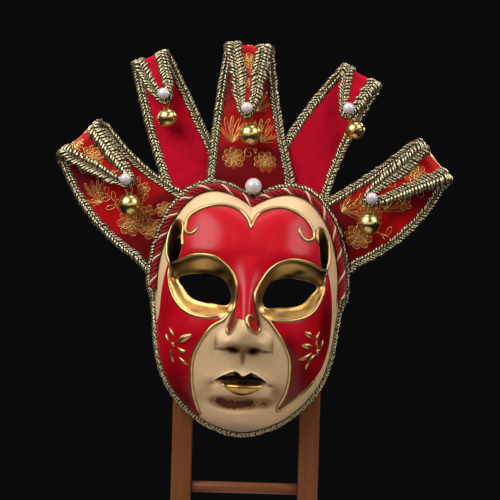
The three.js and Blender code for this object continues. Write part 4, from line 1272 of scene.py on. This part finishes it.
for horn in HORNS:
    path = PATHS[horn["name"]]
    middle, half, run, facing = (path[key] for key in ("middle", "half", "run", "facing"))
    across = np.array([1.0, 0, 0])
    on_flap = eased((run - horn["length"] + COVER_FROM) / COVER_OVER)
    cover = FLAP_COVER[horn["cloth"]] * on_flap * np.clip(half / FULL_HALF, 0.3, 1)
    inner = half - cover + EDGE_GAP * (1 - on_flap)
    outer = half + BRAID_OUT - SLIM * eased((run - run[-1] + SLIM_OVER) / SLIM_OVER)
    centre, leg_half = (inner + outer) / 2, (outer - inner) / 2
    legs = [middle + side * centre[:, None] * across for side in (-1, 1)]
    turn = np.linspace(0, np.pi, 16)[1:-1]
    tip_out = np.outer(-np.cos(turn), across) + np.outer(np.sin(turn), path["ahead"][-1])
    line = np.vstack([legs[0], middle[-1] + centre[-1] * tip_out, legs[1][::-1]])
    narrow = leg_half[-1] - (leg_half[-1] - TURN_HALF) * np.sin(turn) ** 0.35
    width = np.concatenate([leg_half, narrow, leg_half[::-1]])
    up = np.vstack([facing, np.tile(facing[-1], (len(turn), 1)), facing[::-1]])
    out = np.vstack([np.tile(-across, (len(half), 1)), tip_out, np.tile(across, (len(half), 1))])
    line, out, up = horn_to_mask(horn, line), horn_to_mask(horn, out, True), horn_to_mask(horn, up, True)
    angle = np.degrees(np.arctan2(line[:, 0], line[:, 2]))
    clear = np.hypot(line[:, 0], line[:, 2]) > rim_radius(angle) + RIM_GAP
    loops, core = plait(f"gimp_{horn['name']}", line[clear], out[clear], up[clear], width[clear])
    finish_braid(loops, core, f"braid_{horn['name']}")

# %% Braid round the face
# Over the brow the braid lies flat to the front; from this angle on it turns towards the jaw's side
JAW_FROM, JAW_OVER, JAW_TILT = 82.0, 14.0, math.radians(62)
BROW_OUT, JAW_OUT, BROW_Y, JAW_Y = 3.1, 0.6, -13.7, -6.5
angle = np.linspace(0, 360, 721)
folded = np.minimum(angle, 360 - angle)
turned_share = eased((folded - JAW_FROM) / JAW_OVER)
radial = np.column_stack([np.sin(np.radians(angle)), 0 * angle, np.cos(np.radians(angle))])
front = np.tile([0.0, -1, 0], (len(angle), 1))
radius = rim_radius(folded) + BROW_OUT + (JAW_OUT - BROW_OUT) * turned_share
middle = radial * radius[:, None]
middle[:, 1] = BROW_Y + (JAW_Y - BROW_Y) * turned_share
quarter = (JAW_TILT * turned_share)[:, None]
out = radial * np.cos(quarter) - front * np.sin(quarter)
up = front * np.cos(quarter) + radial * np.sin(quarter)
loops, core = plait("gimp_rim", middle, out, up, np.full(len(angle), BRAID_HALF), two_sided=False)
finish_braid(loops, core, "rim_braid")

# %% [markdown]
# ## The twisted brow cord
# A silk cord lies over the brow just inside the braid: four dark red strands and a thinner cream one, laid
# up with a left-hand twist. Each strand is a round curve that winds round the cord's path.

# %% Strands of the cord
CORD_END, CORD_RADIUS, CORD_LEAD, CORD_Y = 86.0, 3.4, 20.0, -19.5
CORD_OUT, CORD_STEP, PLY_MM = 0.2, 0.8, 0.8
STRANDS = [("red", 0, 1.25), ("red", 78, 1.25), ("red", 156, 1.25), ("red", 234, 1.25), ("cream", 300, 0.85)]
angle = np.linspace(-CORD_END, CORD_END, 900)
radial = np.column_stack([np.sin(np.radians(angle)), 0 * angle, np.cos(np.radians(angle))])
middle = radial * (rim_radius(angle) + CORD_OUT)[:, None]
middle[:, 1] = CORD_Y
run = np.concatenate([[0], np.cumsum(np.linalg.norm(np.diff(middle, axis=0), axis=1))])
even = np.linspace(0, run[-1], int(run[-1] / CORD_STEP))
middle = np.column_stack([np.interp(even, run, c) for c in middle.T])
radial = np.column_stack([np.interp(even, run, c) for c in radial.T])
front = np.array([0.0, -1, 0])
lines = {"red": [], "cream": []}
for colour, start, thick in STRANDS:
    twist = np.radians(start) + 2 * np.pi * even / CORD_LEAD
    around = radial * np.cos(twist)[:, None] + front * np.sin(twist)[:, None]
    lines[colour].append((middle + (CORD_RADIUS - thick) * around, thick))
print("strands:", len(STRANDS))


# %% Twisted silk
# Twisted silk: soft gloss along the strand with fine ridges of its plies
def twisted_silk(name, dark, light):
    material, tree, shader = new_material(name, {"Roughness": 0.48, "Specular IOR Level": 0.2})
    place = add_node(tree, "TexCoord", "Object")
    plies = add_node(tree, "TexNoise", "Fac", {"Vector": place, "Scale": 1 / (PLY_MM * MM)})
    silk = {SHARE: plies, UNDER: linear(dark), OVER: linear(light)}
    silk = add_node(tree, "Mix", MIXED, silk, data_type="RGBA")
    bump = add_node(tree, "Bump", "Normal", {"Height": plies, "Strength": 0.5, "Distance": 0.2 * MM})
    set_inputs(tree, shader, {"Base Color": silk, "Normal": bump})
    return material


red_strands = tubes("brow_cord_red", lines["red"], sides=8)
dress(red_strands, twisted_silk("red twisted silk", "#6e0812", "#a81222"), "twisted_cord", "brow_cord")
cream_strand = tubes("brow_cord_cream", lines["cream"], sides=8)
dress(cream_strand, twisted_silk("cream twisted silk", "#c9b48a", "#efe2c2"), "twisted_cord")
for strand in (red_strands, cream_strand):
    select_only(strand)
    bpy.ops.object.shade_smooth()
print("cord length in mm:", round(run[-1]))

# %% [markdown]
# ## Bells
# A sleigh bell is pressed from two cups of thin brass, rolled together in a lip at the middle, with a slot
# below and a wire loop on top. A half circle is spun into the shell, given its wall and cut, and the finished
# bell is copied to every tip.

# %% One bell
BELL_RADIUS, BELL_LIP, BELL_WALL, BELL_SLOT = 9.3, 10.9, 0.9, 1.8
# The rolled lip: half its height, and how fast it slopes in
LIP_HALF, LIP_SLOPE = 0.7, 0.8
RING_RADIUS, RING_WIRE, RING_NARROW = 4.1, 1.0, 0.65
RING_HEIGHT = BELL_RADIUS + RING_RADIUS - RING_WIRE / 2
BELL_DROP = RING_HEIGHT + RING_RADIUS
bpy.ops.object.select_all(action="DESELECT")
bpy.ops.mesh.primitive_circle_add(vertices=96, radius=BELL_RADIUS * MM, rotation=(math.radians(90), 0, 0))
bell = bpy.context.object
bpy.ops.object.transform_apply(location=False, rotation=True, scale=False)
select_only(bell)
bpy.ops.object.mode_set(mode="EDIT")
bpy.ops.mesh.select_mode(type="VERT")
bpy.ops.mesh.select_all(action="DESELECT")
bpy.ops.object.mode_set(mode="OBJECT")
for vertex in bell.data.vertices:
    vertex.select = vertex.co.x < -WELD
    if abs(vertex.co.z) < LIP_HALF * MM:
        lip = BELL_LIP - LIP_SLOPE * abs(vertex.co.z) / MM
        vertex.co.x = lip * MM * (1 if vertex.co.x > 0 else -1)
bpy.ops.object.mode_set(mode="EDIT")
bpy.ops.mesh.delete(type="VERT")
bpy.ops.mesh.select_all(action="SELECT")
bpy.ops.mesh.spin(steps=44, angle=2 * math.pi, center=(0, 0, 0), axis=(0, 0, 1))
bpy.ops.mesh.select_all(action="SELECT")
bpy.ops.mesh.remove_doubles(threshold=WELD)
bpy.ops.mesh.normals_make_consistent(inside=False)
bpy.ops.object.mode_set(mode="OBJECT")
finish_with(bell, "SOLIDIFY", thickness=BELL_WALL * MM, offset=-1)
print("faces of the bell's shell:", len(bell.data.polygons))

# %% Its slot and its wire loop
bpy.ops.object.select_all(action="DESELECT")
bpy.ops.mesh.primitive_cube_add(size=MM, location=(0, 0, -BELL_RADIUS * MM),
                                scale=(1.5 * BELL_RADIUS, BELL_SLOT, 1.1 * BELL_RADIUS))
slot = bpy.context.object
bpy.ops.object.transform_apply(location=True, rotation=True, scale=True)
finish_with(bell, "BOOLEAN", object=slot, operation="DIFFERENCE", solver="EXACT")
bpy.data.objects.remove(slot)
bpy.ops.object.select_all(action="DESELECT")
bpy.ops.mesh.primitive_torus_add(
    major_radius=RING_RADIUS * MM, minor_radius=RING_WIRE * MM, major_segments=32, minor_segments=10,
    rotation=(math.radians(90), 0, 0), location=(0, 0, RING_HEIGHT * MM))
ring = bpy.context.object
ring.scale.x = RING_NARROW
bpy.ops.object.transform_apply(location=True, rotation=True, scale=True)
select_only(bell, ring)
bpy.ops.object.join()
select_only(bell)
bpy.ops.object.shade_smooth_by_angle(angle=math.radians(35))
bell_points = points_of(bell) / MM - (0, 0, BELL_DROP)
print("faces of a bell:", len(bell.data.polygons))

# %% Five bells, each hanging from its tip
# Polished brass: mirror-like, with light tarnish in clouds
polished_brass, tree, shader = new_material("polished brass", {"Metallic": 1.0})
CLOUD_MM = 6.0
place = add_node(tree, "TexCoord", "Object")
cloud = add_node(tree, "TexNoise", "Fac", {"Vector": place, "Scale": 1 / (CLOUD_MM * MM), "Detail": 4.0})
brass = {SHARE: cloud, UNDER: linear("#e2d08a"), OVER: linear("#c0a860")}
brass = add_node(tree, "Mix", MIXED, brass, data_type="RGBA")
gloss = add_node(tree, "MapRange", "Result", {"Value": cloud, "To Min": 0.24, "To Max": 0.34})
set_inputs(tree, shader, {"Base Color": brass, "Roughness": gloss})
RING_SEAT = 2.2


def spun(points, axis, degrees):
    """Points turned about one of the three axes, by the right-hand rule."""
    a = math.radians(degrees)
    c, s = math.cos(a), math.sin(a)
    i, j = [(1, 2), (2, 0), (0, 1)][axis]
    made = points.copy()
    made[:, i], made[:, j] = c * points[:, i] - s * points[:, j], s * points[:, i] + c * points[:, j]
    return made


for horn in HORNS:
    tip = horn_to_mask(horn, PATHS[horn["name"]]["middle"][-1:])
    swing = horn["swing"] + math.degrees(HANG_ROLL)
    hung = spun(horn["bell_size"] * bell_points - (0, 0, RING_SEAT), 1, -swing) + tip
    copy = bell.copy()
    copy.data = bell.data.copy()
    copy.name = f"brass_bell_{horn['name']}"
    bpy.context.collection.objects.link(copy)
    move_points(copy, to_row(hung))
    dress(copy, polished_brass, "bell_brass", f"bell_{horn['name']}")
bpy.data.objects.remove(bell)
print("bells:", len(HORNS))

# %% [markdown]
# ## Pearls
# The pearls are lustrous drilled beads: a ball, dimpled at both ends of its drill hole, under a clear coat.

# %% Bead and its copies
PEARL_RADIUS, BROW_PEARL_RADIUS, PEARL_LIFT, PEARL_GAP = 5.2, 7.5, 2.5, 0.3
BROW_PEARL = np.array([0, -17.8, 102.2])
# The dimple round the drill hole of a ball of radius 1: its depth and width
DIMPLE, DIMPLE_WIDE = 0.18, 0.13
bpy.ops.object.select_all(action="DESELECT")
bpy.ops.mesh.primitive_uv_sphere_add(segments=48, ring_count=32, radius=1)
bead = bpy.context.object
ball = points_of(bead)
ring = np.hypot(ball[:, 0], ball[:, 1])
ball[:, 2] *= 1 - DIMPLE * np.exp(-(ring / DIMPLE_WIDE) ** 4)
print("vertices of a bead:", len(ball))

# %% Pearls in their places
# Imitation pearl: white with a faint rosy warmth, glassy coat over a soft glow
pearl_nacre, tree, shader = new_material(
    "pearl nacre", {"Roughness": 0.3, "Coat Weight": 0.8, "Coat Roughness": 0.06, "Subsurface Weight": 0.15})
shader.inputs["Subsurface Radius"].default_value = (0.001, 0.0008, 0.0007)
NACRE_MM = 4.0
place = add_node(tree, "TexCoord", "Object")
layers = add_node(tree, "TexNoise", "Fac", {"Vector": place, "Scale": 1 / (NACRE_MM * MM)})
nacre = {SHARE: layers, UNDER: linear("#d8d0d0"), OVER: linear("#c4b8bc")}
set_inputs(tree, shader, {"Base Color": add_node(tree, "Mix", MIXED, nacre, data_type="RGBA")})


def set_pearl(name, centre, radius, node):
    copy = bead.copy()
    copy.data = bead.data.copy()
    copy.name = name
    bpy.context.collection.objects.link(copy)
    move_points(copy, to_row(ball * radius + centre))
    select_only(copy)
    bpy.ops.object.shade_smooth()
    dress(copy, pearl_nacre, "pearl", node)


for horn in HORNS:
    path = PATHS[horn["name"]]
    seat = path["middle"][-1] - PEARL_LIFT * path["ahead"][-1]
    centre = seat - (CLOTH_THICK / 2 + PEARL_GAP + PEARL_RADIUS) * path["facing"][-1]
    centre = horn_to_mask(horn, centre[None])[0]
    set_pearl(f"bead_{horn['name']}", centre, PEARL_RADIUS, f"pearl_{horn['name']}")
set_pearl("bead_brow", BROW_PEARL, BROW_PEARL_RADIUS, "pearl_brow")
bpy.data.objects.remove(bead)
print("pearls:", len(HORNS) + 1)

# %% [markdown]
# ## The wooden stand
# The stand is planed beech with a reddish stain: square posts on long feet, a round rung, a rail and a hook
# behind the mask. Each bar keeps the size of its solid, and gets eased edges and grain that runs along it.

# %% Stained beech
# Stained beech: fine straight grain, short dark flecks, thin satin varnish
stained_beech, tree, shader = new_material(
    "stained beech", {"Specular IOR Level": 0.3, "Coat Weight": 0.1, "Coat Roughness": 0.3})
RING_MM, FLECK_MM = 3.0, 1.2
grain = add_node(tree, "Attribute", "Vector", attribute_name="grain")
long_rings = add_node(tree, "Mapping", "Vector", {"Vector": grain, "Scale": (0.06, 1, 1)})
rings = add_node(tree, "TexNoise", "Fac", {"Vector": long_rings, "Scale": 1 / (RING_MM * MM), "Detail": 5.0})
flecked = add_node(tree, "Mapping", "Vector", {"Vector": grain, "Scale": (0.25, 1, 1)})
flecks = add_node(tree, "TexNoise", "Fac", {"Vector": flecked, "Scale": 1 / (FLECK_MM * MM)})
ends = {"Value": flecks, "From Min": 0.58, "From Max": 0.68, "To Max": 0.5}
dark = add_node(tree, "MapRange", "Result", ends)
beech = linear("#602c0e")
for part, tint in ((rings, "#80481c"), (dark, "#40200e")):
    layer = {SHARE: part, UNDER: beech, OVER: linear(tint)}
    beech = add_node(tree, "Mix", MIXED, layer, data_type="RGBA")
gloss = add_node(tree, "MapRange", "Result", {"Value": rings, "To Min": 0.38, "To Max": 0.55})
bump = add_node(tree, "Bump", "Normal", {"Height": rings, "Strength": 0.2, "Distance": 0.2 * MM})
set_inputs(tree, shader, {"Base Color": beech, "Roughness": gloss, "Normal": bump})
print("made:", stained_beech.name)

# %% Bars with eased edges
# In mm: the slope at both ends of a foot, and the round of every edge
FOOT_SLOPE, EASED_EDGE = 6.0, 0.9


def along_grain(piece, axis):
    """Keeps each vertex's place with the bar's long direction first, so that the grain runs along it."""
    spots = points_of(piece)[:, [axis, (axis + 1) % 3, (axis + 2) % 3]]
    layer = piece.data.attributes.new("grain", "FLOAT_VECTOR", "POINT")
    layer.data.foreach_set("vector", spots.astype(np.float32).ravel())


def bar(name, node, chamfer=0.0):
    """A square bar in the box of its solid, with its upper ends sloped where a chamfer is given."""
    low, high = (np.array(corner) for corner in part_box(node))
    bpy.ops.object.select_all(action="DESELECT")
    bpy.ops.mesh.primitive_cube_add(size=1, location=(low + high) / 2, scale=high - low)
    made = bpy.context.object
    bpy.ops.object.transform_apply(location=True, rotation=True, scale=True)
    made.name = name
    if chamfer:
        select_only(made)
        bpy.ops.object.mode_set(mode="EDIT")
        bpy.ops.mesh.select_mode(type="EDGE")
        bpy.ops.object.mode_set(mode="OBJECT")
        for edge in made.data.edges:
            ends = [made.data.vertices[v].co for v in edge.vertices]
            on_top = all(end.z > high[2] - WELD for end in ends)
            edge.select = on_top and abs(ends[0].x - ends[1].x) > WELD
        bpy.ops.object.mode_set(mode="EDIT")
        bpy.ops.mesh.bevel(offset=chamfer * MM, segments=1)
        bpy.ops.object.mode_set(mode="OBJECT")
    return made


def finish_wood(made, node, axis):
    finish_with(made, "BEVEL", width=EASED_EDGE * MM, segments=3, limit_method="ANGLE",
                angle_limit=math.radians(30))
    select_only(made)
    bpy.ops.object.shade_smooth_by_angle(angle=math.radians(40))
    along_grain(made, axis)
    dress(made, stained_beech, "stand_wood", node)


print("edges eased by mm:", EASED_EDGE)

# %% Posts, feet, rail and rung
for side in ("left", "right"):
    finish_wood(bar(f"beech_post_{side}", f"post_{side}"), f"post_{side}", 2)
    finish_wood(bar(f"beech_foot_{side}", f"foot_{side}", FOOT_SLOPE), f"foot_{side}", 1)
finish_wood(bar("beech_rail", "rail"), "rail", 0)
low, high = (np.array(corner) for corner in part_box("rung"))
bpy.ops.object.select_all(action="DESELECT")
bpy.ops.mesh.primitive_cylinder_add(vertices=40, radius=(high[2] - low[2]) / 2, depth=high[0] - low[0],
                                    location=(low + high) / 2, rotation=(0, math.radians(90), 0))
dowel = bpy.context.object
bpy.ops.object.transform_apply(location=True, rotation=True, scale=True)
dowel.name = "beech_rung"
finish_wood(dowel, "rung", 0)

# %% The hook behind the mask
HOOK_NOSE = 10.0
low, high = (np.array(corner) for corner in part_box("hanger"))
stem_front = low[1] + HOOK_NOSE * MM
bpy.ops.object.select_all(action="DESELECT")
stem_low = np.array([low[0], stem_front, low[2]])
bpy.ops.mesh.primitive_cube_add(size=1, location=(stem_low + high) / 2, scale=high - stem_low)
hook = bpy.context.object
bpy.ops.object.transform_apply(location=True, rotation=True, scale=True)
hook.name = "beech_hook"
in_edit_mode(
    hook,
    (bpy.ops.mesh.bisect, dict(plane_co=(0, 0, high[2] - HOOK_NOSE * MM), plane_no=(0, 0, 1))),
    (bpy.ops.mesh.select_all, dict(action="DESELECT")),
    (bpy.ops.mesh.select_mode, dict(type="FACE")),
)
for nose_face in hook.data.polygons:
    nose_face.select = bool(nose_face.normal.y < -0.9 and nose_face.center.z > high[2] - HOOK_NOSE * MM)
bpy.ops.object.mode_set(mode="EDIT")
bpy.ops.mesh.extrude_region_move(TRANSFORM_OT_translate=dict(value=(0, -HOOK_NOSE * MM, 0)))
bpy.ops.mesh.select_all(action="SELECT")
bpy.ops.mesh.normals_make_consistent(inside=False)
bpy.ops.object.mode_set(mode="OBJECT")
finish_wood(hook, "hanger", 2)
print("hook reaches forward to y in mm:", round(low[1] / MM, 1))

# %% [markdown]
# ## Finish
# The trimming plug has done its work.

# %% Finish
bpy.data.objects.remove(face_plug)
bpy.ops.object.select_all(action="DESELECT")
